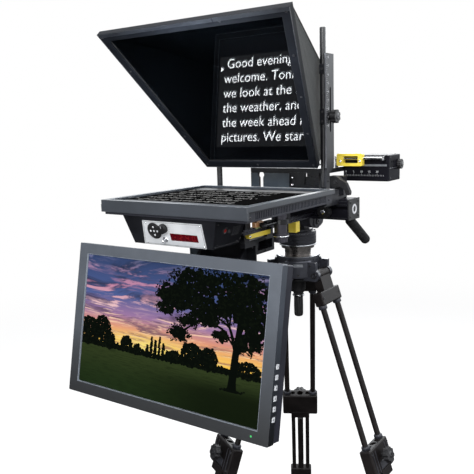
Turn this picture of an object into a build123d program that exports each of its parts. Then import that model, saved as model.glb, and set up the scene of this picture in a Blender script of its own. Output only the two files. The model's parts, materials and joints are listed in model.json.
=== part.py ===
from build123d import *
import os
from math import atan2, cos, pi, radians, sin, sqrt

# Teleprompter rig on a fluid head and tripod, in millimetres, +Z up.  The presenter
# stands on the -Y side (the front) and +X is the right.  Pieces are drawn with zero on
# the floor under the pan axis, then written with the origin on the camera screw's axis
# at the top of the camera plate.

os.makedirs("parts", exist_ok=True)

ORIGIN = (0.0, 35.0, 1396.0)         # camera screw at the plate top, floor coordinates
CLEARANCE = 0.06                     # running clearance, radial

# Legs.  A leg is drawn hanging down -Z from its hinge, outward side on +X.
LEG_AZIMUTHS = {"right": -0.6, "rear": 119.4, "left": -120.6}
LEG_ANGLE = 18.6                     # from vertical
HINGE_RADIUS, HINGE_Z = 72.0, 1100.0
UPPER_LENGTH = 570.0
ANKLE = (HINGE_Z - 12.0) / cos(radians(LEG_ANGLE)) - 34.0    # hinge to ankle
LOWER_TUBE_Y, LOWER_TUBE_RADIUS, MIDDLE_TUBE_RADIUS = 23.5, 6.5, 9.5
BOWL_Z = 1150.0

# Fluid head
DRUM_RADIUS = 52.0
TILT_Z, TILT_SHAFT_RADIUS = 1246.0, 15.0
CHEEK_X = (34, 61)
PAN_BAR_PIVOT = (143.0, 2.0, 1272.0)
PAN_BAR_DIRECTION = (0.833, -0.553)  # y, z: back and down

# Carriage
BEAM_HALF, BEAM_Y, BEAM_Z = 196.0, (-82.0, -18.0), (1266.0, 1319.0)
RAIL_X, RAIL_Y, RAIL_Z = (92.0, 104.0), (-423.5, -82.0), (1273.0, 1285.0)
GROOVE_Z = sum(RAIL_Z) / 2           # middle of the rail's side grooves
ROD_RADIUS, ROD_X, ROD_Y, ROD_Z = 7.5, 158.2, -146.0, (1312.0, 1736.0)
SCREW_BORE = 4.06                    # clearance bore for the 4 mm radius screws

# Prompter monitor, lying flat
PROMPTER_WIDTH, PROMPTER_DEPTH = 400.0, 381.0
PROMPTER_TOP, PROMPTER_FRONT = 1355.0, -550.0
PROMPTER_BACK = PROMPTER_FRONT + PROMPTER_DEPTH
FASCIA_HEIGHT, BAND_HEIGHT, BODY_HEIGHT = 27.0, 11.0, 33.0

# Talent monitor, in its own frame: y runs back from the screen side, z up from the top
TALENT_WIDTH, TALENT_HEIGHT, TALENT_THICK = 555.0, 349.0, 44.0
TALENT_TILT = 11.3                   # leans so the screen faces slightly upward
TALENT_TOP = (-2.0, -547.0, 1250.0)  # middle of its top front edge
BORDER_LEFT, BORDER_RIGHT, BORDER_TOP, BORDER_BOTTOM = 26.0, 26.0, 24.0, 25.0
SCREEN_RECESS = 3.5
BULGE_BACK = TALENT_THICK + 14.0
PIVOT_DEPTH, PIVOT_HEIGHT = BULGE_BACK + 26.0, -TALENT_HEIGHT / 2

# Beam-splitter frame and hood
FRAME_ANGLE = 48.8                   # from horizontal
FRAME_TOP_WIDTH, FRAME_BOTTOM_WIDTH, FRAME_LENGTH = 516.0, 332.0, 429.0
FRAME_BASE = Vector(0.0, -192.0, 1406.0)     # middle of the lower outer edge
FRAME_MEMBER, FRAME_THICK, GLASS_THICK = 20.0, 14.0, 3.0
HOOD_REAR_Y, HOOD_REAR_HALF, HOOD_REAR_Z = -20.0, 104.0, (1452.0, 1640.0)
HOOD_WALL = 4.0


# ------------------------------------------------------------ helpers
def box(x0, x1, y0, y1, z0, z1):
    size = Box(abs(x1 - x0), abs(y1 - y0), abs(z1 - z0))
    return Pos((x0 + x1) / 2, (y0 + y1) / 2, (z0 + z1) / 2) * size


def cyl_x(centre, radius, length):
    return Pos(*centre) * (Rot(0, 90, 0) * Cylinder(radius, length))


def cyl_y(centre, radius, length):
    return Pos(*centre) * (Rot(90, 0, 0) * Cylinder(radius, length))


def cyl_z(centre, radius, length):
    return Pos(*centre) * Cylinder(radius, length)


def fluted(body, cylinder, centre, ring, count, radius, length):
    """Cut a ring of flutes, cylinder being cyl_x, cyl_y or cyl_z."""
    x, y, z = centre
    for k in range(count):
        angle = 2 * pi * k / count
        across, up = ring * cos(angle), ring * sin(angle)
        place = {
            cyl_x: (x, y + across, z + up),
            cyl_y: (x + across, y, z + up),
            cyl_z: (x + across, y + up, z),
        }[cylinder]
        body = body - cylinder(place, radius, length)
    return body


def polygon(points):
    return make_face(Polyline(*points, close=True))


def prism(points, vector):
    travel = Vector(*vector)
    return extrude(polygon(points), amount=travel.length, dir=travel.normalized())


def prism_x(points_yz, x0, x1):
    return prism([(x0, y, z) for y, z in points_yz], (x1 - x0, 0, 0))


def prism_y(points_xz, y0, y1):
    return prism([(x, y0, z) for x, z in points_xz], (0, y1 - y0, 0))


def rod_between(start, end, radius):
    start, end = Vector(*start), Vector(*end)
    span = end - start
    plane = Plane(origin=start, z_dir=span.normalized())
    return plane * (Pos(0, 0, span.length / 2) * Cylinder(radius, span.length))


def soft(shape, radius, along=None, rearmost=0):
    """Round all edges, those parallel to an axis, or only the rearmost of them."""
    edges = shape.edges() if along is None else shape.edges().filter_by(along)
    if rearmost:
        edges = edges.sort_by(Axis.Y)[-rearmost:]
    for factor in (1.0, 0.6, 0.3):
        # The kernel may refuse a radius: try smaller ones, else keep the plain shape.
        try:
            rounded = fillet(edges, radius * factor)
            if rounded.is_valid and rounded.volume > 0:
                return rounded
        except Exception:
            pass
    return shape


def mirror_x(shape):
    return mirror(shape, about=Plane.YZ)


def both_sides(right):
    return Compound(children=[right, mirror_x(right)])


def save(name, shape):
    shift = Pos(-ORIGIN[0], -ORIGIN[1], -ORIGIN[2])
    export_step(shift * shape, f"parts/{name}.step")


def piece(make):
    """Decorator: build a piece and save it under its function's name."""
    save(make.__name__, make())
    return make


# ------------------------------------------------------------ tripod
@piece
def crown_casting():
    lug_in, lug_out = 29, 40
    ear_y, ear_thick = (lug_in + lug_out) / 2, lug_out - lug_in
    body = soft(cyl_z((0, 0, 1116), 66, 52), 5)
    body = body + cyl_z((0, 0, 1145), 60, 8)
    for azimuth in LEG_AZIMUTHS.values():
        turn = Rot(0, 0, azimuth)
        lugs = box(40, 78, -lug_out, -lug_in, 1084, 1136) + box(40, 78, lug_in, lug_out, 1084, 1136)
        ears = (cyl_y((HINGE_RADIUS, -ear_y, HINGE_Z), 16, ear_thick)
                + cyl_y((HINGE_RADIUS, ear_y, HINGE_Z), 16, ear_thick))
        pin = cyl_y((HINGE_RADIUS, 0, HINGE_Z), 5, 84)
        body = body - (turn * box(52, 100, -lug_in, lug_in, 1060, 1150))
        body = body + turn * (lugs + ears + pin)
    return body - Pos(0, 0, BOWL_Z) * Sphere(50) - cyl_z((0, 0, 1090), 22, 100)


@piece
def half_ball_neck():
    ball = (Pos(0, 0, BOWL_Z) * Sphere(49.5)) & box(-60, 60, -60, 60, 1095, BOWL_Z)
    neck = cyl_z((0, 0, 1160), 37, 20)
    flange = cyl_z((0, 0, 1174), 46, 8)
    stud_bore = cyl_z((0, 0, 1130), 6.2, 70.0)
    spigot = cyl_z((0, 0, 1195), 12, 34)
    return ball + neck + flange - stud_bore + spigot


@piece
def tie_down_handle():
    stud = cyl_z((0, 0, 1065), 6.1, 120)
    dish = cyl_z((0, 0, 1078), 34, 7)
    hub = cyl_z((0, 0, 1058), 20, 34)
    grip = soft(cyl_z((0, 0, 1005), 13, 74), 5)
    ring = cyl_z((0, 0, 1030), 16, 5)
    return stud + dish + hub + grip + ring


def leg_upper():
    eye = cyl_y((0, 0, 0), 14, 56)
    tongue = box(-12, 12, -28, 28, -52, 0)
    crosspiece = soft(box(-14, 14, -54, 54, -84, -46), 4)
    tube_top, tube_y = 60, 42
    tube_z, tube_length = -(tube_top + UPPER_LENGTH) / 2, UPPER_LENGTH - tube_top
    tubes = cyl_z((0, tube_y, tube_z), 8, tube_length) + cyl_z((0, -tube_y, tube_z), 8, tube_length)
    bracket = soft(box(-17, 17, -57, 57, -UPPER_LENGTH, -UPPER_LENGTH + 78), 5)
    lip = box(-20, 20, -30, 30, -UPPER_LENGTH - 12, -UPPER_LENGTH + 10)
    leg = eye + tongue + crosspiece + tubes + bracket + lip
    leg = leg - cyl_y((0, 0, 0), 5.06, 120)
    bore_z = -UPPER_LENGTH + 30
    for y in (LOWER_TUBE_Y, -LOWER_TUBE_Y):
        leg = leg - cyl_z((0, y, bore_z), LOWER_TUBE_RADIUS + CLEARANCE, 140)
    leg = leg - cyl_z((0, 0, bore_z), MIDDLE_TUBE_RADIUS + CLEARANCE, 140)
    return leg - cyl_x((22, 0, -UPPER_LENGTH + 45), 4.0, 30)     # clamp screw seat


def leg_lower():
    top, bottom, middle_top = 505, 850, 600              # distances below the hinge
    tube_z, tube_length = -(top + bottom) / 2, bottom - top
    tubes = (cyl_z((0, LOWER_TUBE_Y, tube_z), LOWER_TUBE_RADIUS, tube_length)
             + cyl_z((0, -LOWER_TUBE_Y, tube_z), LOWER_TUBE_RADIUS, tube_length))
    yoke = soft(box(-13, 13, -36, 36, -872, -832), 4)
    middle = cyl_z((0, 0, -(middle_top + ANKLE) / 2), MIDDLE_TUBE_RADIUS, ANKLE - middle_top)
    collar = cyl_z((0, 0, -880), 15, 26)
    return tubes + yoke + middle + collar


def foot():
    """Level rubber foot with a ball ankle, along +X in floor coordinates."""
    reach = HINGE_RADIUS + sin(radians(LEG_ANGLE)) * ANKLE
    height = HINGE_Z - cos(radians(LEG_ANGLE)) * ANKLE
    pad = soft(cyl_z((reach + 10, 0, 6), 33, 12), 3)
    cone = Pos(reach + 10, 0, 17) * Cone(22, 14, 12)
    ball = Pos(reach + 6, 0, height - 4) * Sphere(15)
    return pad + cone + ball


def leg_knob():
    z = -UPPER_LENGTH + 45
    stem = cyl_x((22, 0, z), 3.9, 12)
    disc = cyl_x((29, 0, z), 13, 4)
    grip = fluted(cyl_x((38, 0, z), 21, 14), cyl_x, (38, 0, z), 24, 8, 6, 20)
    return stem + disc + grip


for side, azimuth in LEG_AZIMUTHS.items():
    turn = Rot(0, 0, azimuth)
    lean = turn * Pos(HINGE_RADIUS, 0, HINGE_Z) * Rot(0, -LEG_ANGLE, 0)
    save(f"leg_{side}_upper_stage", lean * leg_upper())
    save(f"leg_{side}_lower_stage", lean * leg_lower() + turn * foot())
    save(f"leg_{side}_clamp_knob", lean * leg_knob())


# ------------------------------------------------------------ fluid head
@piece
def pan_drum():
    drum = soft(cyl_z((0, 0, 1200), DRUM_RADIUS, 36), 2)
    for z in (1188, 1197, 1206):
        groove = cyl_z((0, 0, z), DRUM_RADIUS + 2, 1.6) - cyl_z((0, 0, z), DRUM_RADIUS - 1.4, 1.6)
        drum = drum - groove
    drum = drum + cyl_z((0, 0, 1219.5), 43, 9)
    drum = drum + cyl_z((0, 0, 1180.25), 49, 3.5)
    drum = drum - cyl_z((0, 0, 1195), 12.05, 36)         # pan spindle bore
    web = box(-30, 30, -15, 15, 1224, TILT_Z)
    return drum + web + cyl_x((0, 0, TILT_Z), TILT_SHAFT_RADIUS, 100)


@piece
def tilt_housing():
    cheek = [                                            # y, z
        (-40, 1258), (-40, 1248), (-34, 1238), (-20, 1231),
        (22, 1231), (36, 1238), (40, 1248), (40, 1258),
    ]
    inner, outer = CHEEK_X
    top = (box(-outer, outer, -40, 40, 1262, 1266)
           + box(-outer, -inner, -40, 40, 1256, 1264)
           + box(inner, outer, -40, 40, 1256, 1264))
    housing = prism_x(cheek, inner, outer) + prism_x(cheek, -outer, -inner) + top
    bore_radius = TILT_SHAFT_RADIUS + CLEARANCE
    housing = housing - cyl_x((0, 0, TILT_Z), bore_radius, 200)
    # relief that lets the cheeks pass the drum top through the tilt range
    housing = housing - cyl_z((0, 0, 1226), 53, 16)
    # end caps of the tilt shaft close each cheek bore
    housing = housing + cyl_x((57.0, 0, TILT_Z), 19, 12) + cyl_x((-57.0, 0, TILT_Z), 19, 12)
    return housing - cyl_x((0, 0, TILT_Z), bore_radius, 104)


def on_pan_bar(distance):
    x, y, z = PAN_BAR_PIVOT
    return (x, y + PAN_BAR_DIRECTION[0] * distance, z + PAN_BAR_DIRECTION[1] * distance)


def pan_bar_rod():
    return rod_between(PAN_BAR_PIVOT, on_pan_bar(168), 7.0)


@piece
def pan_bar():
    bar = cyl_x(PAN_BAR_PIVOT, 14, 20) + pan_bar_rod()
    return bar - cyl_x(PAN_BAR_PIVOT, SCREW_BORE, 60)


@piece
def pan_bar_grip():
    return soft(rod_between(on_pan_bar(40), on_pan_bar(172), 13.5), 5) - pan_bar_rod()


@piece
def pan_bar_knob():
    x, y, z = PAN_BAR_PIVOT
    centre = (x + 17, y, z)
    knob = cyl_x(PAN_BAR_PIVOT, 4.0, 44) + cyl_x(centre, 13, 12)
    return fluted(knob, cyl_x, centre, 15.5, 6, 5, 20)


# ------------------------------------------------------------ carriage
@piece
def base_plate():
    plate = soft(box(-86, 86, -18, 62, 1266, 1278), 4, Axis.Z)
    # ear and arm that carry the pan bar
    ear = box(126, 132.9, -18, 12, 1256, 1288) + box(86, 127, -18, -6, 1266, 1278)
    return plate + (ear - cyl_x((130, *PAN_BAR_PIVOT[1:]), SCREW_BORE, 20))


@piece
def cross_beam():
    (front, back), (bottom, top) = BEAM_Y, BEAM_Z
    half, slot_z = BEAM_HALF, 1297.0
    beam = soft(box(-half + 4, half - 4, front, back, bottom, top), 2.5, Axis.X)
    bore = box(-half, half, front + 15, back - 5, bottom + 5, top - 5)
    slot = (box(-half, half, front - 1, front + 4, slot_z - 4, slot_z + 4)
            + box(-half, half, front + 3, front + 9, slot_z - 8, slot_z + 8))
    return beam - bore - slot


@piece
def beam_end_caps():
    lip = 0.8
    return both_sides(soft(box(BEAM_HALF - 4, BEAM_HALF, BEAM_Y[0] - lip, BEAM_Y[1] + lip,
                               BEAM_Z[0] - lip, BEAM_Z[1] + lip), 1.2))


@piece
def carriage_rails():
    rail = box(*RAIL_X, *RAIL_Y, *RAIL_Z)
    for x0, x1 in ((RAIL_X[0] - 1, RAIL_X[0] + 3), (RAIL_X[1] - 3, RAIL_X[1] + 1)):
        rail = rail - box(x0, x1, RAIL_Y[0] - 1, RAIL_Y[1] - 6, GROOVE_Z - 2, GROOVE_Z + 2)
    return both_sides(rail)


@piece
def beam_clamp_knob():
    """Knob that locks the right rail into the beam."""
    x, front, z = 134.0, BEAM_Y[0], 1288.0
    grip_centre = (x, front - 14, z)
    knob = cyl_y((x, front - 3, z), 12, 6) + cyl_y(grip_centre, 17, 16)
    knob = fluted(knob, cyl_y, grip_centre, 18.8, 10, 3.2, 18)
    return knob + cyl_y((x, front - 23.5, z), 6.5, 3)


@piece
def rod_blocks():
    block = box(143, 168, -160, -82, 1308, 1345) + box(143, 168, -82, -52, 1319, 1327)
    block = soft(block, 3, Axis.Z)
    return both_sides(block - cyl_z((ROD_X, ROD_Y, 1330), ROD_RADIUS, 60))


@piece
def hood_rods():
    rod = cyl_z((ROD_X, ROD_Y, sum(ROD_Z) / 2), ROD_RADIUS, ROD_Z[1] - ROD_Z[0])
    return both_sides(chamfer(rod.edges(), 1.0))


HOOD_KNOB_Y, HOOD_KNOB_Z = -138.0, 1527.0


@piece
def hood_upright():
    """Slotted side upright, bolted to the right rod block."""
    outline = [                                          # y, z
        (-159, 1400), (-159, 1675), (-119, 1675), (-119, 1404),
        (-143, 1392), (-143, 1312), (-162, 1312), (-162, 1398),
    ]
    slot_half, low, high = 3.6, HOOD_KNOB_Z - 34, HOOD_KNOB_Z + 66
    slot = (box(160, 180, HOOD_KNOB_Y - slot_half, HOOD_KNOB_Y + slot_half, low, high)
            + cyl_x((170, HOOD_KNOB_Y, low), slot_half, 20)
            + cyl_x((170, HOOD_KNOB_Y, high), slot_half, 20))
    return prism_x(outline, 168.0, 173.0) - slot


LEVER_X, LEVER_Z = 152.0, 1362.0                         # bracket clamp lever pivot
PLATE_BOTTOM, PLATE_TOP = 1384, ORIGIN[2]                # camera plate
BEAM_TOP = BEAM_Z[1]


@piece
def rear_bracket():
    """Keyhole plate, raised slide strip and stepped block on the beam."""
    front, back = -63.0, -57.0
    plate = soft(box(-111, 61, front, back, BEAM_TOP, PLATE_BOTTOM), 3, Axis.Y)
    plate = plate - (cyl_y((-77, -60, 1376), 9.5, 30) + box(-83, -71, -80, -40, 1330, 1376))
    plate = plate + box(-111, 61, back, -40, BEAM_TOP, 1325)
    strip = box(14, 61, -67, front, 1325, PLATE_BOTTOM) - box(17, 30, -70, -62, 1330, 1380)
    plate = plate + strip
    block = box(62, 108, -74, -38, BEAM_TOP, 1340)
    for x0, x1, y0, z0, z1 in (
        (63.5, 106.5, -72, 1340, 1352), (65, 105, -70, 1352, 1363),
        (66.5, 103.5, -68, 1363, 1374), (68, 102, -66, 1374, PLATE_BOTTOM),
    ):
        block = block + box(x0, x1, y0, -38, z0, z1)
    clamp_block = soft(box(124, 166, -50, -30, BEAM_TOP, 1376), 3, Axis.Y)
    plate = plate + box(60, 70, front, -40, BEAM_TOP, 1360) + block
    plate = plate + box(100, 130, -50, -36, BEAM_TOP, 1332)
    plate = plate + clamp_block
    return plate - cyl_y((LEVER_X, -40, LEVER_Z), SCREW_BORE, 60)


@piece
def bracket_clamp_lever():
    hub = cyl_y((LEVER_X, -60.5, LEVER_Z), 14, 19) + cyl_y((LEVER_X, -45, LEVER_Z), 4.0, 30)
    outline = [                                          # x, z from the pivot
        (-6, 8), (10, 9), (30, -2), (40, -24), (39, -33),
        (30, -33), (24, -18), (8, -10), (-6, -8),
    ]
    arm = prism_y([(LEVER_X + x, LEVER_Z + z) for x, z in outline], -70, -58)
    return hub + soft(arm, 2.5, Axis.Y)


@piece
def camera_plate():
    slot_half, slot_end = 5.5, 70
    plate = soft(box(-111, 132, -66, 100, PLATE_BOTTOM, PLATE_TOP), 4, Axis.Z)
    plate = plate - box(-slot_half, slot_half, 0, slot_end, 1380, 1400)
    plate = plate - cyl_z((0, 0, 1390), slot_half, 30) - cyl_z((0, slot_end, 1390), slot_half, 30)
    return plate - box(-60, 60, -60, -20, 1390, 1400)


@piece
def camera_screw():
    """Captive 3/8 inch screw with a slotted head."""
    y = ORIGIN[1]
    screw = cyl_z((0, y, 1390), 4.5, 20) + cyl_z((0, y, 1401), 4.76, 10)
    screw = screw + cyl_z((0, y, 1379.0), 14, 9.9)
    return screw - box(-20, 20, y - 1.2, y + 1.2, 1370, 1376.5)


SLIDE_Y, SLIDE_Z, SLIDE_RADIUS = 12, 1418, 4.0           # slide rod axis
BOX_KNOB_Y, BOX_KNOB_Z = 86, 1400


@piece
def side_box():
    body = soft(box(132.0, 260.0, 20.0, 100.0, 1358.0, 1426.0), 3)
    for y in (40, 54, 68):
        for z in (1392, 1408):
            body = body - cyl_x((258, y, z), 3.2, 14)
    body = body - box(140, 250, 30, 90, 1364, 1420)      # hollow for the slide stock
    body = body - cyl_x((256, BOX_KNOB_Y, BOX_KNOB_Z), SCREW_BORE, 18)
    return body - box(190, 252, 19, 23, 1404, 1424)      # front pocket behind the rod


@piece
def slide_rod():
    rod = cyl_x((182, SLIDE_Y, SLIDE_Z), SLIDE_RADIUS, 136)
    return rod + box(246, 251, 8, 20, 1413, 1423) + box(113, 117, 6, 20, 1396, 1424)


@piece
def slide_lock_frame():
    frame = soft(box(120, 193, 4.5, 18.5, 1398, 1431), 4, Axis.Y)
    frame = frame - box(138, 180, 0, 25, 1405.5, 1424)
    return frame - cyl_x((160, SLIDE_Y, SLIDE_Z), SLIDE_RADIUS + CLEARANCE, 100)


@piece
def side_box_knob():
    y, z = BOX_KNOB_Y, BOX_KNOB_Z
    knob = cyl_x((265.5, y, z), 13, 9) + cyl_x((256, y, z), 4.0, 12)
    return fluted(knob, cyl_x, (266, y, z), 14.2, 12, 2.2, 14)


@piece
def rail_stop_block():
    return soft(box(84, 106, -196, -176, 1246, 1272.9), 1.5)


# ------------------------------------------------------------ prompter monitor
def prompter_slab(inset, low, high, front_extra=0.0):
    """Slab inset from the monitor's outline; low and high are depths below its top."""
    half = PROMPTER_WIDTH / 2 - inset
    return box(-half, half, PROMPTER_FRONT + inset + front_extra, PROMPTER_BACK - inset,
               PROMPTER_TOP - low, PROMPTER_TOP - high)


@piece
def pm_bezel():
    half = PROMPTER_WIDTH / 2
    band = soft(prompter_slab(0, BAND_HEIGHT, 0), 2.0, Axis.Z)
    band = band + box(-half, half, PROMPTER_FRONT, PROMPTER_FRONT + 6,
                      PROMPTER_TOP - FASCIA_HEIGHT, PROMPTER_TOP - BAND_HEIGHT + 1)
    return band - prompter_slab(14, 5, -1, 1) - prompter_slab(8, BAND_HEIGHT + 1, 5, 1)


@piece
def pm_housing():
    housing = prompter_slab(6, BODY_HEIGHT, BAND_HEIGHT)
    housing = housing - prompter_slab(9, BODY_HEIGHT - 3, 0)
    half = PROMPTER_WIDTH / 2
    first, pitch, width = -512.0, 6.6, 3.0
    vents = []
    for k in range(47):
        y = first + pitch * k
        vents.append(box(-half, half, y, y + width, PROMPTER_TOP - 29, PROMPTER_TOP - 14.5))
    return housing - vents


@piece
def pm_screen():
    return prompter_slab(8.4, BAND_HEIGHT - 0.05, 5.05, 1)


@piece
def pm_board():
    board = box(-110, 110, -480, -300, 1328, 1329.6)
    for x0, x1, y0, y1, top in (                         # blocks on the board
        (-40, 0, -440, -400, 1333), (30, 60, -430, -400, 1332.5),
        (-95, -70, -475, -380, 1336), (70, 100, -370, -310, 1335),
    ):
        board = board + box(x0, x1, y0, y1, 1329, top)
    for x in (-100, 100):
        for y in (-470, -310):
            board = board + cyl_z((x, y, 1326.5), 3, 3)
    return board


POST_X, POST_Y, POST_RADIUS = 124.0, -300.0, 15
POST_LUG = (POST_X - 6, POST_X + 10, POST_Y - 12, POST_Y + 12)   # x and y ranges


@piece
def pm_saddle():
    """Saddle that carries the monitor on the rails."""
    saddle = soft(box(-122, 122, -418, -222, 1312, 1322), 4, Axis.Z)
    saddle = saddle - box(-70, 70, -380, -260, 1305, 1330)
    rest_z = RAIL_Z[1] + 0.1
    foot_y = (-266, -226)
    feet = box(*RAIL_X, *foot_y, rest_z, 1313) + box(104.2, 108, *foot_y, 1274, 1313)
    feet = feet + box(103.9, 104.3, *foot_y, rest_z, 1313)
    feet = feet + box(101.2, 104.4, *foot_y, GROOVE_Z - 1.9, GROOVE_Z + 1.9)
    feet = feet + box(*RAIL_X, -416, -396, rest_z, 1313)
    saddle = saddle + feet + mirror_x(feet)
    # notches where the posts' top lugs sit
    notch = box(*POST_LUG, 1300, 1330)
    return saddle - notch - mirror_x(notch)


@piece
def pm_posts():
    foot_centre = (POST_X, POST_Y, 1249)
    post = cyl_z((POST_X, POST_Y, 1287), POST_RADIUS, 50) + cyl_z((POST_X, POST_Y, 1259), 19, 6)
    post = post + cyl_z(foot_centre, 16, 14)
    post = fluted(post, cyl_z, foot_centre, 17, 16, 1.8, 14.2)
    return both_sides(post + box(*POST_LUG, 1312, 1322))


@piece
def post_clamp_lever():
    centre = (POST_X, POST_Y, 1290)
    lever = cyl_z(centre, 19, 12) - cyl_z(centre, POST_RADIUS + CLEARANCE, 20)
    lever = lever + rod_between((POST_X, POST_Y - 17, 1290), (POST_X, POST_Y - 70, 1290), 4.2)
    return lever + Pos(POST_X, POST_Y - 74, 1290) * Sphere(7)


@piece
def level_vial():
    return soft(box(104.6, 116, -392, -358, 1287, 1299), 2) + box(107, 115, -384, -366, 1298, 1312)


# ------------------------------------------------------------ control box
# x0, x1, y0, y1, z of the top and bottom; the front face leans back going down
CONTROL_TOP = (-142.0, 116.0, -541.0, -425.0, 1322.0)
CONTROL_BOTTOM = (-129.0, 91.0, -520.0, -425.0, 1257.0)
SETBACK, DROP = CONTROL_BOTTOM[2] - CONTROL_TOP[2], CONTROL_TOP[4] - CONTROL_BOTTOM[4]
LEAN = atan2(SETBACK, DROP)
# x, z of the controls on the front face
NAV_PAD, KNOB, TOGGLE, DISPLAY = (-57.0, 1291.0), (-27.0, 1299.5), (-31.0, 1273.0), (22.0, 1279.5)


def on_front(x, z, out=0.0):
    """Point on the leaning front face, moved outward by out."""
    y = CONTROL_TOP[2] + (CONTROL_TOP[4] - z) * SETBACK / DROP
    return (x, y - out * cos(LEAN), z - out * sin(LEAN))


def front_plane(place, out=0.0):
    return Plane(origin=on_front(*place, out), x_dir=(1, 0, 0), z_dir=(0, -cos(LEAN), -sin(LEAN)))


def rectangle(x0, x1, y0, y1, z):
    return polygon([(x0, y0, z), (x1, y0, z), (x1, y1, z), (x0, y1, z)])


def frustum(wall, front_wall):
    """The box outline, inset by its walls."""
    faces = []
    for (x0, x1, y0, y1, z), rise in ((CONTROL_BOTTOM, wall), (CONTROL_TOP, -wall)):
        faces.append(rectangle(x0 + wall, x1 - wall, y0 + front_wall, y1 - wall, z + rise))
    return loft(faces, ruled=True)


def cut_controls(shape):
    shape = shape - front_plane(NAV_PAD) * Cylinder(19.3, 12)
    shape = shape - front_plane(KNOB) * Cylinder(SCREW_BORE, 16)
    shape = shape - front_plane(TOGGLE) * Cylinder(4.6, 16)
    return shape - front_plane(DISPLAY) * Box(75.2, 17.2, 7)


@piece
def control_housing():
    return cut_controls(frustum(0, 0) - frustum(3, 4)) - cyl_x((113, -477, 1292), 6, 20)


@piece
def control_panel():
    outline = [(-86, 1313), (78, 1313), (76, 1258.5), (-97, 1258.5)]     # x, z
    thick = 1.6
    points = [on_front(x, z) for x, z in outline]
    return cut_controls(prism(points, (0, -thick * cos(LEAN), -thick * sin(LEAN))))


@piece
def nav_pad():
    return soft(front_plane(NAV_PAD, 0.6) * Cylinder(19.0, 6.0), 1.2)


@piece
def speed_knob():
    knob = front_plane(KNOB, 7.3) * Cylinder(10, 10) + front_plane(KNOB) * Cylinder(4.0, 10)
    return knob - front_plane((KNOB[0], KNOB[1] + 6.0), 12.0) * Box(1.6, 8, 2.0)


@piece
def toggle_switch():
    bat = front_plane(TOGGLE, 6) * Cylinder(1.9, 12) + front_plane(TOGGLE, 12) * Sphere(2.6)
    bat = bat + front_plane(TOGGLE) * Sphere(3.6)
    return bat + front_plane(TOGGLE) * (Rot(0, 90, 0) * Cylinder(1.5, 8))    # pivot pin


@piece
def display_window():
    return front_plane(DISPLAY, -0.4) * Box(75, 17, 3.6)


# ------------------------------------------------------------ talent monitor
TALENT_FRAME = Pos(*TALENT_TOP) * Rot(-TALENT_TILT, 0, 0)
TALENT_HALF = TALENT_WIDTH / 2
KEY_HEIGHTS = [-196.0 - 20.4 * k for k in range(6)]


def talent_slab(inset, y0, y1):
    half = TALENT_HALF - inset
    return box(-half, half, y0, y1, -TALENT_HEIGHT + inset, -inset)


@piece
def tm_bezel():
    bezel = soft(talent_slab(0, 0, 20), 2.5, Axis.Y)
    bezel = bezel - box(-TALENT_HALF + BORDER_LEFT, TALENT_HALF - BORDER_RIGHT, -1, 30,
                        -TALENT_HEIGHT + BORDER_BOTTOM, -BORDER_TOP)
    bezel = bezel - talent_slab(3, SCREEN_RECESS, 21)
    for z in KEY_HEIGHTS:
        bezel = bezel - box(TALENT_HALF - 4, TALENT_HALF + 1, 7, 16.6, z - 5.2, z + 5.2)
    return TALENT_FRAME * bezel


@piece
def tm_back_cover():
    cover = soft(talent_slab(1.5, 20, TALENT_THICK), 3, Axis.Y)
    # rear bulge for the electronics
    cover = cover + soft(box(-150, 150, TALENT_THICK - 4, BULGE_BACK, -280, -70), 6, Axis.Y)
    cover = cover - talent_slab(4.5, 19, TALENT_THICK - 3)
    cover = cover - box(-146, 146, 30, BULGE_BACK - 3, -276, -74)
    vents = []
    for k in range(26):
        x = -125 + 10 * k
        vents.append(box(x, x + 4, TALENT_THICK - 5, TALENT_THICK + 1, -52, -16))
    return TALENT_FRAME * (cover - vents)


@piece
def tm_screen():
    return TALENT_FRAME * box(-TALENT_HALF + 8, TALENT_HALF - 16, SCREEN_RECESS + 0.05, 16,
                              -TALENT_HEIGHT + 8, -8)


@piece
def tm_key_strip():
    strip = box(TALENT_HALF - 12, TALENT_HALF - 5.5, 6, 18, KEY_HEIGHTS[-1] - 9, KEY_HEIGHTS[0] + 9)
    for z in KEY_HEIGHTS:
        strip = strip + box(TALENT_HALF - 6, TALENT_HALF + 1.2, 7.5, 16.1, z - 4.7, z + 4.7)
    return TALENT_FRAME * strip


@piece
def tm_vesa_plate():
    plate = soft(box(-60, 60, BULGE_BACK, BULGE_BACK + 5, PIVOT_HEIGHT - 60, PIVOT_HEIGHT + 60),
                 4, Axis.Y)
    arm = (BULGE_BACK + 4, PIVOT_DEPTH, -190, -159)      # y and z ranges
    plate = plate + box(-48, -38, *arm) + box(38, 48, *arm)
    for x, radius, length in ((43, 15.5, 10), (-43, 15.5, 10), (0, 6, 140)):
        plate = plate + cyl_x((x, PIVOT_DEPTH, PIVOT_HEIGHT), radius, length)
    for x in (-50, 50):
        for z in (-50, 50):
            plate = plate + cyl_y((x, BULGE_BACK + 6.5, PIVOT_HEIGHT + z), 5, 4)
    return TALENT_FRAME * plate


CAM_Y, CAM_Z = -396, 1267.2                              # cam lever pivot


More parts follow.
